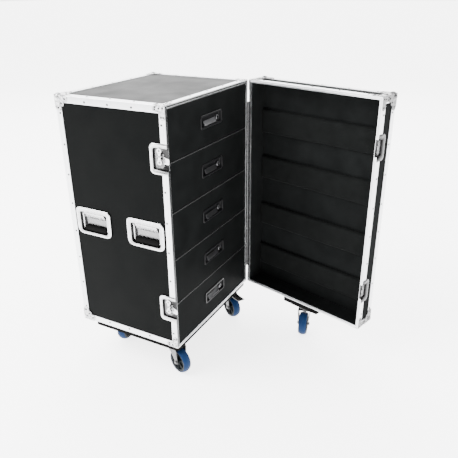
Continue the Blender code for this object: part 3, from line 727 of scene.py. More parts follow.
def latch_windows(back, half_height):
    """Boxes that let the latch dishes through the left side of a rim, on one side of the joint."""
    front = math.copysign(CUT_PAST / 2, -back)
    near, far = sorted((front, back))
    heights = LATCH_Z.values()
    return [((-CUT_PAST / 2, near, z - half_height), (WINDOW_DEPTH, far, z + half_height)) for z in heights]


def side_flange(sign):
    """The part of a rim's profile that covers the side, with its long groove, for y of that sign."""
    start, end = SIDE_GROOVE
    corner = 0.0006
    profile = [(ALUMINIUM, RIM_BACK), (ALUMINIUM, FLANGE), (corner, FLANGE), (0, FLANGE - corner), (0, end)]
    profile += [(SIDE_GROOVE_DEPTH, end), (SIDE_GROOVE_DEPTH, start), (0, start)]
    return [(inset, sign * y) for inset, y in profile]


def dark_groove(rim):
    """Gives the closing groove of the body's rim a near-black aluminium: painted shade in the groove."""
    rim.data.materials.append(GROOVE_SHADE)
    slack = 0.0002
    for face in rim.data.polygons:
        x, y, z = face.center
        inset = min(x, WIDTH - x, z, HEIGHT - z)
        across = GROOVE[0] - slack < inset < GROOVE[1] + slack
        if across and slack < y - RIM_FACE < GROOVE_DEPTH + slack:
            face.material_index = len(rim.data.materials) - 1


def shade_uprights(rim, sides):
    """Gives the upright faces of a rim that close on the other half a darker aluminium: painted shade for
    those faces.
    """
    rim.data.materials.append(SHADED_ALUMINIUM)
    for face in rim.data.polygons:
        upright = any(abs(face.center.x - x) < RIM_LIP for x in sides)
        if upright and abs(face.center.y) < RIM_BACK and abs(face.normal.x) < 0.9:
            face.material_index = 1


def rim_profile(sign, start, end, level):
    """The closed profile of the body's rim, with sign 1, or of the door's, with sign -1.

    Between the insets start and end its face steps to y = level, as a groove or a tongue.
    """
    corner = 0.001
    face = sign * RIM_FACE
    profile = [(0, face + sign * corner), (corner, face), (start, face), (start, level)]
    profile += [(end, level), (end, face), (RIM_LIP, face), (RIM_LIP, sign * RIM_BACK)]
    return profile + side_flange(sign)


def rims():
    body_edge = edge_loop(rim_profile(1, *GROOVE, RIM_FACE + GROOVE_DEPTH))
    body_edge = boolean_cut(body_edge, latch_windows(*BODY_WINDOW))
    made = piece("body_rim", body_edge, ANODISED, "case", CASE, bevel=0.0003, stands_for=["front_rim"])
    shade_uprights(made, (0, WIDTH))
    dark_groove(made)
    door_edge = edge_loop(rim_profile(-1, *TONGUE, TONGUE_REACH - RIM_FACE))
    hinge_side = ((WIDTH - CUT_PAST, -RIM_FACE, -CUT_PAST), (WIDTH + CUT_PAST, CUT_PAST, HEIGHT + CUT_PAST))
    windows = [*latch_windows(*DOOR_WINDOW), hinge_side]
    for z in LATCH_Z.values():
        windows.append(((-CUT_PAST, -RIM_FACE, z - HOOK_ROOM), (WINDOW_DEPTH, CUT_PAST, z + HOOK_ROOM)))
    door_edge = boolean_cut(door_edge, windows)
    made = piece("door_rim_edge", door_edge, ANODISED, "door", DOOR, bevel=0.0003, stands_for=["door_rim"])
    shade_uprights(made, (WIDTH,))


def spaced(start, end, spacing=RIVET_SPACING):
    """Even places from start to end, both included, no further apart than spacing."""
    count = max(1, math.ceil(abs(end - start) / spacing))
    return [start + (end - start) * n / count for n in range(count + 1)]


def free_of_latches(z):
    return all(abs(z - latch) > CORNER_CLEAR for latch in LATCH_Z.values())


def rivets_round(bm, face_y, near_y, inwards):
    """Rivets on the flanges of one half of the case: its big face and its four sides.

    near_y is where the rim's row of rivets runs, and inwards is 1 for the body and -1 for the door.
    """
    far_y = face_y - inwards * RIVET_INSET
    outward_y = (0, inwards, 0)
    for x in spaced(CORNER_CLEAR, WIDTH - CORNER_CLEAR):
        for z, up in ENDS_Z:
            add_rivet(bm, (x, face_y, z - up * RIVET_INSET), outward_y)
            add_rivet(bm, (x, far_y, z), (0, 0, up))
            add_rivet(bm, (x, near_y, z), (0, 0, up))
    for z in spaced(CORNER_CLEAR, HEIGHT - CORNER_CLEAR):
        for x, out in ENDS_X:
            add_rivet(bm, (x - out * RIVET_INSET, face_y, z), outward_y)
            add_rivet(bm, (x, far_y, z), (out, 0, 0))
            if x > 0 or free_of_latches(z):
                add_rivet(bm, (x, near_y, z), (out, 0, 0))


def depth_rivets(bm, start, end):
    """Rivets on the angles that run along the case's depth."""
    for y in spaced(start, end):
        for z, up in ENDS_Z:
            for x, out in ENDS_X:
                add_rivet(bm, (x, y, z - up * RIVET_INSET), (out, 0, 0))
                add_rivet(bm, (x - out * RIVET_INSET, y, z), (0, 0, up))


def edge_rivets():
    bm = bmesh.new()
    rivets_round(bm, BODY_DEPTH, RIM_ROW, 1)
    depth_rivets(bm, DEPTH_CLEAR[0], BODY_DEPTH - DEPTH_CLEAR[1])
    piece("body_edge_rivets", bm, RIVET_STEEL, "case", CASE)
    bm = bmesh.new()
    rivets_round(bm, -DOOR_DEPTH, -RIM_ROW, -1)
    piece("door_edge_rivets", bm, RIVET_STEEL, "door", DOOR)


# Corners


def corner_outline():
    """The lobed outline of one face of a ball corner, from the corner itself."""
    (far, near, big), (mid, _, small) = CORNER_LOBES
    t = CORNER_SHEET
    outline = [(-t, -t), (far, -t)]
    outline += arc((far, near), big, -75, 118, 9)
    outline += arc((mid, mid), small, -38, 128, 7)
    outline += arc((near, far), big, -28, 165, 9)
    return outline + [(-t, far)]


def ball_corner_shape():
    """Three lobed sheets on three faces and the ball over their corner, flattened inside the case."""
    bm = bmesh.new()
    for axis in "xyz":
        add_prism(bm, corner_outline(), -CORNER_SHEET, 0, axis)
    centre = move(BALL_INSET, BALL_INSET, BALL_INSET)
    ball = bmesh.ops.create_uvsphere(bm, u_segments=32, v_segments=20, radius=BALL_RADIUS, matrix=centre)
    for vertex in ball["verts"]:
        inside = max(0, min(vertex.co) - ALUMINIUM)
        vertex.co -= Vector((inside, inside, inside))
    return bm


def corner_rivets():
    """The rivets of a ball corner's three sheets."""
    bm = bmesh.new()
    (far, near, _), (mid, _, _) = CORNER_LOBES
    for n in range(3):
        outward = [0, 0, 0]
        outward[n] = -1
        for a, b in ((far, near), (near, far), (mid, mid)):
            at = [a, b]
            at.insert(n, -CORNER_SHEET)
            add_rivet(bm, at, outward, 0.0036, 0.0013)
    return bm


def at_corner(x_side, y, z_side, inwards):
    """Matrix that takes the corner at low x, y and z to another corner of the case."""
    corner = (x_side * WIDTH, y, z_side * HEIGHT)
    flips = (1 - 2 * x_side, inwards, 1 - 2 * z_side, 1)
    return move(*corner) @ Matrix.Diagonal(flips)


def ball_corners():
    halves = (
        ("case", CASE, "rear", BODY_DEPTH, -1, CORNER_ZINC),
        ("door", DOOR, "door", -DOOR_DEPTH, 1, SHADED_DOOR_CORNER_ZINC),
    )
    for body, where, half, y, inwards, finish in halves:
        for x_side, side in enumerate(("left", "right")):
            for z_side, level in enumerate(("bottom", "top")):
                name = f"{half}_{side}_{level}_ball_corner"
                corner = at_corner(x_side, y, z_side, inwards)
                rivets = (f"{name}_rivets", corner_rivets(), RIVET_STEEL)
                for part, bm, metal in ((name, ball_corner_shape(), finish), rivets):
                    bmesh.ops.transform(bm, matrix=corner, verts=bm.verts)
                    piece(part, bm, metal, body, where, bevel=0.0004)


def brace_outline():
    """An L with round lobes at the ends of its legs and a round inside corner."""
    width, length = BRACE_WIDTH, BRACE_LENGTH
    lobe = width / 2
    outline = [(0.0006, 0.002), (0.002, 0.0006)]
    outline += arc((length - lobe, lobe), lobe - 0.0006, -90, 90, 8)
    outline += arc((width + 0.006, width + 0.006), 0.006, 270, 180, 5)
    return outline + arc((lobe, length - lobe), lobe - 0.0006, 0, 180, 8)


def brace_shape():
    """The braces of a front corner: an L on the side face and one on the top face."""
    bm = bmesh.new()
    add_prism(bm, brace_outline(), -BRACE_SHEET, 0, "x")
    add_prism(bm, brace_outline(), -BRACE_SHEET, 0, "z")
    return bm


def brace_rivets():
    bm = bmesh.new()
    lobe, reach = BRACE_WIDTH / 2, BRACE_LENGTH - BRACE_WIDTH / 2
    spots = [(0.009, 0.009), (0.023, lobe)]
    for across in (0.0065, 0.0145):
        spots += [(reach, across), (across, reach)]
    for a, b in spots:
        add_rivet(bm, (-BRACE_SHEET, a, b), (-1, 0, 0), 0.003, 0.0012)
        add_rivet(bm, (a, b, -BRACE_SHEET), (0, 0, -1), 0.003, 0.0012)
    return bm


def at_four_corners(shape, inwards):
    """A shape for the front corner at low x and z, repeated at all four."""
    bm = bmesh.new()
    for x_side in (0, 1):
        for z_side in (0, 1):
            corner = shape()
            matrix = at_corner(x_side, inwards * RIM_FACE, z_side, inwards)
            bmesh.ops.transform(corner, matrix=matrix, verts=corner.verts)
            mesh = mesh_from("corner", corner)
            bm.from_mesh(mesh)
            bpy.data.meshes.remove(mesh)
    return bm


def corner_braces():
    halves = (("case", CASE, 1, CORNER_ZINC), ("door", DOOR, -1, SHADED_DOOR_CORNER_ZINC))
    for body, where, inwards, finish in halves:
        braces = at_four_corners(brace_shape, inwards)
        piece(f"{body}_corner_braces", braces, finish, body, where, bevel=0.0003)
        rivets = at_four_corners(brace_rivets, inwards)
        piece(f"{body}_corner_brace_rivets", rivets, RIVET_STEEL, body, where)


# Grips


def grip_dish():
    """The pressed dish: a rounded flange with a rolled bead, steep walls and a flat floor."""
    bm = bmesh.new()
    add_stamping(bm, dish_loops([
        (-0.0004, 0.078, -0.052, 0.052, 0.024, 0.016),
        (-0.0016, 0.078, -0.052, 0.052, 0.024, 0.016),
        (-0.0027, 0.0768, -0.0508, 0.0508, 0.023, 0.015),
        (-0.0031, 0.0745, -0.0485, 0.0485, 0.021, 0.013),
        (-0.0026, 0.0722, -0.0463, 0.0462, 0.019, 0.012),
        (-0.0013, 0.0706, -0.045, 0.0446, 0.018, 0.011),
        (-0.001, 0.066, -0.044, 0.0395, 0.016, 0.01),
        (-0.0013, 0.0636, -0.0432, 0.0365, 0.014, 0.009),
        (0.0006, 0.0618, -0.0424, 0.0352, 0.013, 0.008),
        (0.006, 0.061, -0.0416, 0.0344, 0.012, 0.008),
        (0.0158, 0.0604, -0.041, 0.0338, 0.011, 0.008),
        (0.0174, 0.0588, -0.0394, 0.0322, 0.01, 0.007),
    ]))
    return bm


def grip_details():
    """The hinge cover that slopes into the dish, its rivets and the flange's rivets."""
    bm = bmesh.new()
    cover = [(-0.0002, 0.034), (0.0016, 0.0342), (0.0134, 0.0105), (0.0172, 0.0085), (0.0172, 0.007)]
    cover += [(0.0125, 0.0084), (0.0115, 0.01)]
    add_prism(bm, cover, -0.046, 0.046, "y")
    slope = Vector((-0.88, 0, -0.45))
    for y in (-0.036, -0.013, 0.013, 0.036):
        add_rivet(bm, (0.0066, y, 0.02), slope, 0.003, 0.0013)
    flange_rivets = [(0.069, 0.0405), (0.0665, -0.0405), (0.07, 0.0), (0.03, 0.044), (0.03, -0.0468)]
    both_sides = [(side * y, z) for y, z in flange_rivets for side in (-1, 1)]
    add_left_rivets(bm, -0.0012, both_sides, 0.0028, 0.0011)
    return bm


def grip_bail():
    """The steel bail from its hinge pins down and into the ends of the rubber grip."""
    bm = bmesh.new()
    rod, bend, out = 0.0026, 0.006, 0.0553
    path = [(0.0602, 0), (out + 0.0015, 0), (out + 0.0004, -0.0006), (out, -0.002)]
    path += [(out, -GRIP_DROP + bend), *arc((out - bend, -GRIP_DROP + bend), bend, 0, -90, 6)]
    path.append((0.044, -GRIP_DROP))
    for side in (-1, 1):
        add_tube(bm, [(0, side * y, z) for y, z in path], rod)
    return bm


def squarer(value):
    """A sine or cosine changed so that the oval it draws is squarer."""
    return math.copysign(abs(value) ** 0.75, value)


def grip_sleeve():
    """The rubber sleeve: an oval section with ribs and round ends."""
    bm = bmesh.new()
    half_length, half_x, half_z = 0.0515, 0.007, 0.0104
    ribs, rib_depth = 16, 0.0005
    end_radius, end_size = 0.006, 0.45
    sides = 24
    rings = []
    steps = ribs * 4
    for n in range(steps + 1):
        y = -half_length + 2 * half_length * n / steps
        rib = rib_depth * (1 - abs(math.sin(math.pi * ribs * n / steps)))
        from_end = min(n, steps - n) / steps * 2 * half_length
        scale = end_size + (1 - end_size) * round_over(from_end, end_radius)
        ring = []
        for k in range(sides):
            a = 2 * math.pi * k / sides
            x = squarer(math.cos(a)) * (half_x * scale - rib)
            z = squarer(math.sin(a)) * (half_z * scale - rib)
            ring.append(bm.verts.new((x, y, z - GRIP_DROP)))
        rings.append(ring)
    skin(bm, rings)
    return bm


def grips():
    for side, x, turn in (("left", 0, 0), ("right", WIDTH, 180)):
        for place, y in zip(("front", "rear"), GRIP_Y):
            name = f"{side}_{place}_grip"
            bar = f"{name}_bar"
            where = CASE @ move(x, y, GRIP_Z) @ turned(turn)
            hang = where @ move(*GRIP_PIVOT)
            piece(f"{name}_recess", grip_dish(), GRIP_ZINC, "case", where, 0, DISH_SHEET, [f"{name}_dish"])
            piece(f"{name}_cover", grip_details(), ZINC, "case", where, bevel=0.0003)
            piece(f"{name}_bail", grip_bail(), ZINC, bar, hang)
            piece(f"{name}_sleeve", grip_sleeve(), GRIP_RUBBER, bar, hang, stands_for=[bar])


# Latches


def half_dish(steps, sign):
    """A dish cut at the joint, of which the half on the body's side, 1, or the door's side, -1, stays.

    A step is (x, half width, half height, radius).
    """
    bm = bmesh.new()
    add_stamping(bm, dish_loops([(x, y, -z, z, radius, radius) for x, y, z, radius in steps]))
    bmesh.ops.bisect_plane(
        bm,
        geom=bm.verts[:] + bm.edges[:] + bm.faces[:],
        plane_co=(0, sign * RIM_FACE, 0),
        plane_no=(0, -sign, 0),
        clear_outer=True,
    )
    return bm


def latch_dish():
    return half_dish([
        (-0.0004, 0.068, 0.051, 0.015),
        (-0.0016, 0.068, 0.051, 0.015),
        (-0.0027, 0.0668, 0.0498, 0.014),
        (-0.0031, 0.0646, 0.0476, 0.013),
        (-0.0026, 0.0624, 0.0448, 0.012),
        (-0.0012, 0.0606, 0.042, 0.011),
        (-0.001, 0.0584, 0.038, 0.01),
        (0.0008, 0.057, 0.036, 0.009),
        (0.0056, 0.0564, 0.0354, 0.008),
        (0.0068, 0.0552, 0.0342, 0.007),
    ], 1)


def catch_dish():
    return half_dish([
        (-0.0004, 0.044, 0.046, 0.013),
        (-0.0016, 0.044, 0.046, 0.013),
        (-0.0026, 0.0428, 0.0448, 0.012),
        (-0.0029, 0.0404, 0.0424, 0.011),
        (-0.0022, 0.037, 0.039, 0.01),
        (-0.001, 0.034, 0.035, 0.009),
        (0.0008, 0.0292, 0.0292, 0.007),
        (0.0056, 0.0284, 0.0284, 0.006),
        (0.0068, 0.0272, 0.0272, 0.005),
    ], -1)


def latch_base():
    """The latch's base plate in the dish, with its rivets and two raised cheeks."""
    bm = bmesh.new()
    hub_y, hub_z = LATCH_HUB
    outline = rounded_loop((0.021, -0.03), (0.051, 0.0335), 0.005)
    add_prism(bm, outline, 0.0052, 0.0064, "x")
    for z in (-0.0215, 0.0155):
        add_block(bm, (0.002, 0.014, z), (0.006, 0.0235, z + 0.0022))
    add_tube(bm, [(HOOK_PIVOT[0], HOOK_PIVOT[1], -0.0225), (HOOK_PIVOT[0], HOOK_PIVOT[1], 0.0185)], 0.0014)
    base_rivets = [(0.0462, -0.0245), (0.027, -0.0245), (0.0462, 0.0285), (0.0462, 0.0)]
    add_left_rivets(bm, 0.0052, base_rivets, 0.003, 0.0016)
    collar = [(0.0064, 0), (0.0098, 0), (0.009, 0.003), (0.0064, 0.003)]
    add_lathe(bm, collar, 24, (0.0052, hub_y, hub_z), (-1, 0, 0), ring=True)
    flange_rivets = [(0.0625, 0.0435), (0.0625, -0.0435), (0.02, 0.0455), (0.02, -0.0455), (0.064, 0)]
    add_left_rivets(bm, -0.002, flange_rivets, 0.0026, 0.001)
    return bm


def latch_wings():
    """The butterfly knob: two eyes on a waisted bar, with a domed hub that turns about x."""
    bm = bmesh.new()
    low, high = -0.0044, -0.0024
    for side in (-1, 1):
        eye = [(0.004, 0), (0.0088, 0), (0.0088, high - low), (0.004, high - low)]
        add_lathe(bm, eye, 28, (high, 0, side * LOBE_AT), (-1, 0, 0), ring=True)
    waist = [(0.0062, -0.0125), (0.004, -0.006), (0.004, 0.006), (0.0062, 0.0125)]
    outline = waist + [(-y, z) for y, z in reversed(waist)]
    add_prism(bm, outline, low, high, "x")
    hub = [(0, -0.0004), (0.0056, -0.0004), (0.0056, 0.0095), (0.0046, 0.0104), (0.003, 0.0106), (0, 0.0106)]
    add_lathe(bm, hub, 24, (0.0062, 0, 0), (-1, 0, 0))
    return bm


def latch_hook():
    """The draw hook: a bent tongue from its pin, with a round nose that turns in at its end."""
    bm = bmesh.new()
    middle = -0.003
    reach = HOOK_PIVOT[1] + 0.0078
    stations = [(0.0, 0.0018, 0.0125), (-0.0002, -0.006, 0.0125), (-0.0003, -0.013, 0.0105)]
    for x, from_tip, half in (
        (-0.0001, 0.0085, 0.0102), (0.0, 0.0045, 0.0101), (0.0001, 0.0018, 0.0098),
        (0.0004, 0.0002, 0.009), (0.0009, 0, 0.008), (0.0013, 0.0012, 0.0074),
    ):
        stations.append((x, from_tip - reach, half))
    rows = []
    for x, y, half in stations:
        rows.append([bm.verts.new((x, y, middle + share * half)) for share in (-1, -0.45, 0.45, 1)])
    add_grid(bm, rows)
    return bm


def catch_keeper():
    """The keeper that the hook draws on, with its rivets and those of the flange."""
    bm = bmesh.new()
    add_block(bm, (0.0012, -0.0062, -0.0155), (0.0028, -0.0026, 0.01))
    for z in (-0.0155, 0.008):
        add_block(bm, (0.0012, -0.0125, z), (0.0066, -0.003, z + 0.002))
    add_prism(bm, rounded_loop((-0.0245, -0.0235), (-0.0105, 0.0235), 0.004), 0.005, 0.0064, "x")
    add_left_rivets(bm, 0.005, [(-0.018, -0.0165), (-0.018, 0.0165)], 0.003, 0.0016)
    flange_rivets = [(-0.0385, 0.0395), (-0.0385, -0.0395), (-0.012, 0.0405), (-0.012, -0.0405)]
    add_left_rivets(bm, -0.0018, flange_rivets, 0.0026, 0.001)
    return bm


def latches():
    for place, z in LATCH_Z.items():
        name = f"{place}_latch"
        level = move(0, 0, z)
        body_side, door_side = CASE @ level, DOOR @ level
        hub = body_side @ move(0, *LATCH_HUB)
        pin = body_side @ move(*HOOK_PIVOT, 0) @ turned(-HOOK_LIFT)
        for part, bm, finish, body, where, bevel, sheet, node in (
            ("recess", latch_dish(), LATCH_ZINC, "case", body_side, 0, DISH_SHEET, "dish"),
            ("base", latch_base(), LATCH_STEEL, "case", body_side, 0.0003, 0, None),
            ("butterfly", latch_wings(), ZINC, f"{name}_wing", hub, 0.0004, 0, "wing"),
            ("tongue", latch_hook(), ZINC, f"{name}_hook", pin, 0.0003, 0.0018, "hook"),
            ("catch_recess", catch_dish(), CATCH_ZINC, "door", door_side, 0, DISH_SHEET, "catch"),
            ("keeper", catch_keeper(), LATCH_STEEL, "door", door_side, 0.0003, 0, None),
        ):
            stands_for = [f"{name}_{node}"] if node else []
            piece(f"{name}_{part}", bm, finish, body, where, bevel, sheet, stands_for)


# Drawer pulls


def pull_frame():
    """The black frame round a pull and the pocket behind it."""
    bm = bmesh.new()
    half_x, half_z, depth = PULL_POCKET
    steps = [
        (0.0004, 0.0055, 0.005), (-0.001, 0.0055, 0.005), (-0.0018, 0.0046, 0.0042),
        (-0.0018, 0.0012, 0.001), (-0.001, 0.0, -0.0002), (depth - 0.0016, -0.001, -0.001),
        (depth - 0.0008, -0.0018, -0.0018),
    ]
    loops = []
    for y, grow_x, grow_z in steps:
        radius = max(0.0025, 0.004 + grow_x)
        low, high = (-half_x - grow_x, -half_z - grow_z), (half_x + grow_x, half_z + grow_z)
        loops.append([(x, y, z) for x, z in rounded_loop(low, high, radius)])
    add_stamping(bm, loops)
    return bm


def lock_barrel():
    """A chrome collar round the lock's dark core."""
    bm = bmesh.new()
    profile = [(0.005, 0), (0.0086, 0), (0.0086, 0.0075), (0.0076, 0.0088), (0.0056, 0.0088)]
    add_lathe(bm, profile, 32, (LOCK_X, 0.0086, 0), (0, -1, 0), ring=True)
    return bm


def lock_core():
    """The lock's core with its key slot."""
    bm = bmesh.new()
    add_lathe(bm, [(0, 0), (0.005, 0), (0.005, 0.0078), (0, 0.0078)], 24, (LOCK_X, 0.0086, 0), (0, -1, 0))
    add_block(bm, (LOCK_X - 0.0004, 0.0004, -0.003), (LOCK_X + 0.0004, 0.0012, 0.003))
    return bm


def pull_lever():
    """The sprung lever: a bar that slopes out to a lip for the fingers."""
    bm = bmesh.new()
    section = [
        (0.0, 0.0014), (-0.0016, 0.0014), (-0.0062, -0.0122), (-0.0074, -0.0142),
        (-0.0072, -0.0156), (-0.0058, -0.0159), (-0.0042, -0.0134), (0.0, -0.002),
    ]
    add_prism(bm, section, PULL_LEVER[0], PULL_LEVER[1], "x")
    return bm


def drawer_top_highlights():
    """A lighter strip along the top edge of each drawer front: a painted highlight for the lit edge."""
    band_height, band_depth, proud = 0.0014, 0.006, 0.0002
    for n in range(DRAWERS):
        drawer = f"drawer_{n + 1}"
        low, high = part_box(drawer)
        bm = bmesh.new()
        start = (low.x + proud, low.y - proud, high.z - band_height)
        add_block(bm, start, (high.x - proud, low.y + band_depth, high.z + proud))
        piece(f"{drawer}_band", bm, TOP_EDGE_HIGHLIGHT, drawer, Matrix.Identity(4), bevel=0.0003)


def drawer_pulls():
    for n in range(DRAWERS):
        drawer = f"drawer_{n + 1}"
        pull = f"{drawer}_pull"
        low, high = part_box(drawer)
        where = move((low.x + high.x) / 2, low.y, (low.z + high.z) / 2)
        hinge_line = where @ move(*PULL_HINGE)
        piece(f"{pull}_frame", pull_frame(), BLACK_PLASTIC, drawer, where, thickness=0.001)
        piece(f"{drawer}_lock_collar", lock_barrel(), CHROME, drawer, where, bevel=0.0003)
        piece(f"{drawer}_lock_core", lock_core(), DARK_STEEL, drawer, where, bevel=0.0002)
        piece(f"{pull}_lever", pull_lever(), CHROME, pull, hinge_line, bevel=0.0005, stands_for=[pull])


# Hinge


def hinge_leaf(side, first):
    """One leaf of the piano hinge about its own axis. side is 1 for the body's leaf, -1 for the door's."""
    low_z, high_z = HINGE_SPAN
    out = HINGE.x - ORIGIN.x - WIDTH
    near, far = sorted((side * 0.00015, side * 0.00105))
    radius = 0.0026
    clearance = 0.0002
    screw_margin, screw_spacing = 0.02, 0.075
    bm = bmesh.new()
    add_block(bm, (-out - 0.0105, near, low_z), (-out - 0.0001, far, high_z))
    pitch = (high_z - low_z) / KNUCKLES
    for n in range(first, KNUCKLES, 2):
        low = low_z + n * pitch + clearance
        high = low_z + (n + 1) * pitch - clearance
        add_block(bm, (-out - 0.001, near, low), (-clearance, far, high))
        add_lathe(bm, [(0, low), (radius, low), (radius, high), (0, high)], 14)
    for z in spaced(low_z + screw_margin, high_z - screw_margin, screw_spacing):
        add_rivet(bm, (-out - 0.0062, side * 0.0009, z), (0, -side, 0), 0.0022, 0.0004)
    return bm


def hinge():
    axis = move(HINGE.x, HINGE.y, ORIGIN.z)
    for half, body, where, side, first in (
        ("body", "case", axis, 1, 0),
        ("door", "door", axis @ turned(DOOR_OPEN), -1, 1),
    ):
        leaf = hinge_leaf(side, first)
        piece(f"hinge_leaf_{half}", leaf, HINGE_STEEL, body, where, stands_for=[f"hinge_{half}_leaf"])


# Foam


def foam_bar(low, high):
    """A cut foam bar: its face crowned a little, its edges round and its surface gently uneven."""
    bm = bmesh.new()
    across, tall = 96, 18
    edge_radius, edge_drop, crown_drop = 0.006, 0.45, 0.05
    wave_height, wave_x, wave_z = 0.0005, 22, 30
    thick = high[1] - low[1] - 0.0008
    rows = []
    for i in range(across + 1):
        row = []
        x = low[0] + (high[0] - low[0]) * i / across
        for j in range(tall + 1):
            z = low[2] + (high[2] - low[2]) * j / tall
            from_edge = min(x - low[0], high[0] - x, z - low[2], high[2] - z)
            shoulder = 1 - edge_drop + edge_drop * round_over(from_edge, edge_radius)
            crown = 1 - crown_drop * ((j / tall - 0.5) * 2) ** 2
            wave = wave_height * noise.noise(Vector((x * wave_x, z * wave_z, low[2])))
            row.append((x, min(low[1] + thick * shoulder * crown + wave, high[1]), z))
        rows.append(row)
    front = [[bm.verts.new(p) for p in row] for row in rows]
    back = [[bm.verts.new((x, low[1], z)) for x, _, z in row] for row in rows]
    add_grid(bm, front)
    add_grid(bm, back)
    rim = [(i, 0) for i in range(across)] + [(across, j) for j in range(tall)]
    rim += [(i, tall) for i in range(across, 0, -1)] + [(0, j) for j in range(tall, 0, -1)]
    bridge(bm, [front[i][j] for i, j in rim], [back[i][j] for i, j in rim])
    return bm


def local_box(node, where):
    """A CAD node's lowest and highest corner in the frame given by where."""
    back = where.inverted()
    corners = [back @ vertex.co for vertex in frame["nodes"][node].data.vertices]
    return [[pick(corner[n] for corner in corners) for n in range(3)] for pick in (min, max)]


def door_foam():
    """Foam bars across the inside of the door, over their CAD solids."""
    for number in range(1, FOAM_BARS + 1):
        node = f"door_foam_{number}"
        low, high = local_box(node, DOOR)
        bar = foam_bar(low, high)
        bar = piece(f"foam_bar_{number}", bar, FOAM, "door", DOOR, stands_for=[node], sharp=60)


# Castors


def castor_frame(name):
    """The castor's own frame: the swivel axis at its plate's top, with the wheel trailing towards -y."""
    x, y, _ = JOINTS[f"{name}_castor_swivel"]["pos_m"]
    axle = JOINTS[f"{name}_castor_wheel_roll"]["axis"]
    heading = math.degrees(math.atan2(axle[1], axle[0]))
    return move(x, y, BOARD_BASE + PLATE_THICKNESS) @ turned(heading)


def plate_shape(bm, x, y, top):
    """A castor's top plate with four bolts, below the board."""
    half_x, half_y = CASTOR_PLATE[0] / 2, CASTOR_PLATE[1] / 2
    outline = rounded_loop((x - half_x, y - half_y), (x + half_x, y + half_y), 0.008)
    add_prism(bm, outline, top - PLATE_THICKNESS, top + 0.0002, "z")
    for side_x in (-1, 1):
        for side_y in (-1, 1):
            at = (x + side_x * BOLT_SPREAD[0], y + side_y * BOLT_SPREAD[1], top - PLATE_THICKNESS)
            add_bolt_head(bm, at, (0, 0, -1), 0.01, 0.0055)


def wheel_board(name, node, body, where, castors):
    """A wheel board with round corners, and the castor plates bolted below it."""
    low, high = local_box(node, where)
    base = low[2] + PLATE_THICKNESS
    bm = bmesh.new()
    add_prism(bm, rounded_loop(low[:2], high[:2], 0.006), base, high[2], "z")
    piece(name, bm, PAINTED_BOARD, body, where, bevel=0.0012, stands_for=[node])
    bm = bmesh.new()
    for castor in castors:
        x, y, _ = where.inverted() @ castor_frame(castor).translation
        plate_shape(bm, x, y, base)
    piece(f"{name}_castor_plates", bm, DULL_ZINC, body, where, bevel=0.0004)


def swivel_head(bm):
    """The ball race under the plate and the crown of the fork, on the swivel axis."""
    profile = [
        (0, -0.0033), (0.03, -0.0033), (0.0312, -0.0048), (0.0306, -0.0078), (0.0275, -0.0088),
        (0.0272, -0.01), (0.0298, -0.0108), (0.0304, -0.014), (0.029, -0.0165), (0.02, -0.0182),
        (0, -0.0182),
    ]
    add_lathe(bm, profile, 40)
    add_lathe(bm, [(0, -0.018), (0.0075, -0.018), (0.0066, -0.0215), (0, -0.0225)], 20)


def fork_legs(bm):
    """Two pressed legs, wide at the crown and leaning in to the axle, joined by the crown's sheet."""
    outline = [(0.02, CROWN_BOTTOM), (-0.038, CROWN_BOTTOM), (-0.042, CROWN_BOTTOM - 0.006)]
    outline += arc((-TRAIL, AXLE_Z), 0.0096, 165, 335, 12)
    outline += [(-0.019, -0.06), (-0.002, -0.038), (0.017, -0.022)]
    for side in (-1, 1):
        faces = []
        for face in (0, LEG_SHEET):
            loop = []
            for y, z in outline:
                lean = LEG_LEAN * (z - AXLE_Z) / (CROWN_BOTTOM - AXLE_Z)
                loop.append(bm.verts.new((side * (LEG_INSIDE + lean + face), y, z)))
            faces.append(loop)
            bm.faces.new(loop)
        bridge(bm, *faces)
    crown = LEG_INSIDE + LEG_LEAN + LEG_SHEET
    add_block(bm, (-crown, -0.037, CROWN_BOTTOM - 0.0025), (crown, 0.02, CROWN_BOTTOM))


def axle_bolt(bm):
    """The axle with its head, nut and washers outside the legs."""
    add_tube(bm, [(-0.0225, -TRAIL, AXLE_Z), (0.0225, -TRAIL, AXLE_Z)], 0.0042, 16)
    for side in (-1, 1):
        add_bolt_head(bm, (side * (LEG_INSIDE + LEG_SHEET), -TRAIL, AXLE_Z), (side, 0, 0), 0.0125, 0.0055)


def wheel_ring(half_profile):
    """A ring about the axle, from the half of its profile at -x as (radius, x) points."""
    bm = bmesh.new()
    profile = half_profile + [(r, -x) for r, x in reversed(half_profile)]
    add_lathe(bm, profile, 72, axis=(1, 0, 0), ring=True)
    return bm


def tyre_shape():
    """The tyre: a crowned tread, plump shoulders and short side walls down to the rim."""
    half = WHEEL_WIDTH / 2
    profile = [(0.0424, -half + 0.003)]
    profile += [(0.0426, -half + 0.001), (0.0436, -half + 0.0002), (0.045, -half + 0.0014)]
    profile += [(0.0468, -half + 0.0044), (0.0482, -half + 0.0078), (0.0493, -half + 0.0118)]
    return wheel_ring([*profile, (WHEEL_RADIUS, -0.002)])


def rim_shape():
    """The moulded centre: a recessed web with six ribs between the rim and the hub."""
    half = WHEEL_WIDTH / 2
    profile = [
        (0.0056, -half), (0.0118, -half), (0.013, -half + 0.002), (0.0145, -half + 0.0085),
        (0.033, -half + 0.0085), (0.035, -half + 0.0025), (0.0424, -half + 0.002),
    ]
    bm = wheel_ring(profile)
    for n in range(6):
        add_block(bm, (-half + 0.003, -0.0014, 0.0125), (half - 0.003, 0.0014, 0.034), turned(60 * n, "X"))
    return bm


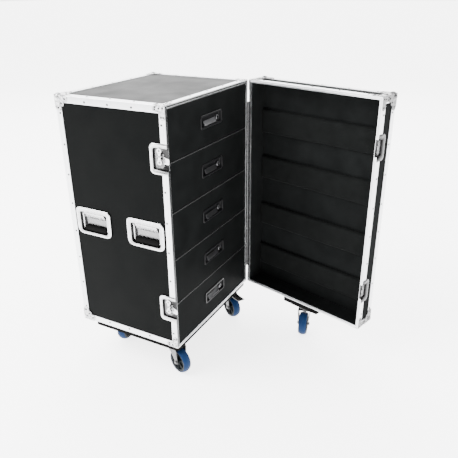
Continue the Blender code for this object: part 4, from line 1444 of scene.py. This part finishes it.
def brake_pedal():
    """The pressed brake pedal on its pin, with a turned-up toe."""
    bm = bmesh.new()
    outline = [
        (0.004, -0.0022), (0.004, 0.0022), (-0.05, 0.002), (-0.068, 0.0032), (-0.0785, 0.0044),
        (-0.0798, 0.0012), (-0.069, 0.0002), (-0.05, -0.001), (-0.03, -0.0018),
    ]
    add_prism(bm, outline, -0.0158, 0.0158, "x")
    add_tube(bm, [(-0.0182, 0, 0), (0.0182, 0, 0)], 0.0018)
    for n in range(4):
        y = -0.056 - 0.0055 * n
        add_block(bm, (-0.012, y - 0.001, 0.0016), (0.012, y + 0.001, 0.0046))
    return bm


def brake_ears(bm):
    for side in (-1, 1):
        inner, outer = sorted((side * LEG_INSIDE, side * (LEG_INSIDE + LEG_SHEET)))
        add_block(bm, (inner, -0.0395, -0.019), (outer, -0.0285, -0.006))


def castors():
    for name in CASTORS:
        where = castor_frame(name)
        fork, wheel, brake = (f"{name}_castor_{part}" for part in ("fork", "wheel", "brake"))
        braked = brake in frame["nodes"]
        bm = bmesh.new()
        swivel_head(bm)
        fork_legs(bm)
        if braked:
            brake_ears(bm)
        piece(f"{fork}_pressing", bm, DULL_ZINC, fork, where, bevel=0.0004, stands_for=[fork])
        bm = bmesh.new()
        axle_bolt(bm)
        piece(f"{name}_castor_axle", bm, DULL_ZINC, fork, where, bevel=0.0003)
        hub = where @ move(0, -TRAIL, AXLE_Z)
        piece(f"{name}_castor_tyre", tyre_shape(), BLUE_TYRE, wheel, hub, stands_for=[wheel])
        piece(f"{name}_castor_rim", rim_shape(), WHEEL_RIM, wheel, hub, bevel=0.0004)
        if braked:
            pin = where @ move(*BRAKE_PIN)
            piece(f"{brake}_pedal", brake_pedal(), DULL_ZINC, brake, pin, bevel=0.0004, stands_for=[brake])


# Floor, light and camera


def floor():
    bpy.ops.mesh.primitive_plane_add(size=FLOOR_SIZE, location=(0, 0, 0))
    ground = bpy.context.object
    ground.name = "studio_floor"
    tones = ((0.89, 0.89, 0.89), (0.91, 0.91, 0.91))
    material = mottled("studio_floor", None, (0.9, 0.9, 0.9), 0.9, (0.5, 3.0), tones, specular=0.1)[0]
    set_inputs(shader_of(material), {"Emission Color": (1, 1, 1, 1), "Emission Strength": FLOOR_GLOW})
    ground.data.materials.append(material)


def area_light(name, place, target, size, power):
    lamp = bpy.data.lights.new(name, "AREA")
    lamp.shape = "RECTANGLE"
    lamp.size, lamp.size_y = size
    lamp.energy = power
    made = add_object(name, lamp)
    made.location = place
    made.rotation_mode = "QUATERNION"
    made.rotation_quaternion = (Vector(target) - Vector(place)).to_track_quat("-Z", "Y")


def studio_surround():
    """A white surround that falls off to grey towards the room's unlit side."""
    world = bpy.data.worlds.new("studio")
    bpy.context.scene.world = world
    world.use_nodes = True
    tree = world.node_tree
    background = tree.nodes["Background"]
    set_inputs(background, {"Color": (1, 1, 1, 1)})
    coordinates = tree.nodes.new("ShaderNodeTexCoord")
    towards = tree.nodes.new("ShaderNodeVectorMath")
    towards.operation = "DOT_PRODUCT"
    towards.inputs[1].default_value = UNLIT_SIDE
    tree.links.new(coordinates.outputs["Generated"], towards.inputs[0])
    strength = spread(tree, towards.outputs["Value"], SURROUND_LIGHT, SURROUND_DARK, 0.35, 0.95)
    tree.links.new(strength, background.inputs["Strength"])


def lights():
    studio_surround()
    area_light("key", *KEY_LIGHT)
    area_light("back", *BACK_LIGHT)


def camera():
    lens = bpy.data.cameras.new("camera")
    lens.lens = CAMERA_LENS
    made = add_object("camera", lens)
    aim = turned(-CAMERA_YAW) @ turned(90 - CAMERA_PITCH, "X") @ turned(CAMERA_ROLL)
    made.matrix_world = move(*CAMERA_PLACE) @ aim
    bpy.context.scene.camera = made


carried_over_nodes()
outer_edging("body_edging_angles", "case", CASE, BODY_DEPTH, FLANGE + JOINT_GAP, ["body_edging"])
outer_edging("door_edging_angles", "door", DOOR, -DOOR_DEPTH, -FLANGE - JOINT_GAP, ["door_edging"])
rims()
edge_rivets()
ball_corners()
corner_braces()
grips()
latches()
drawer_top_highlights()
drawer_pulls()
hinge()
door_foam()
wheel_board("body_board", "body_wheel_board", "case", CASE, CASTORS[:4])
wheel_board("door_board", "door_wheel_board", "door", DOOR, CASTORS[4:])
castors()
floor()
lights()
camera()
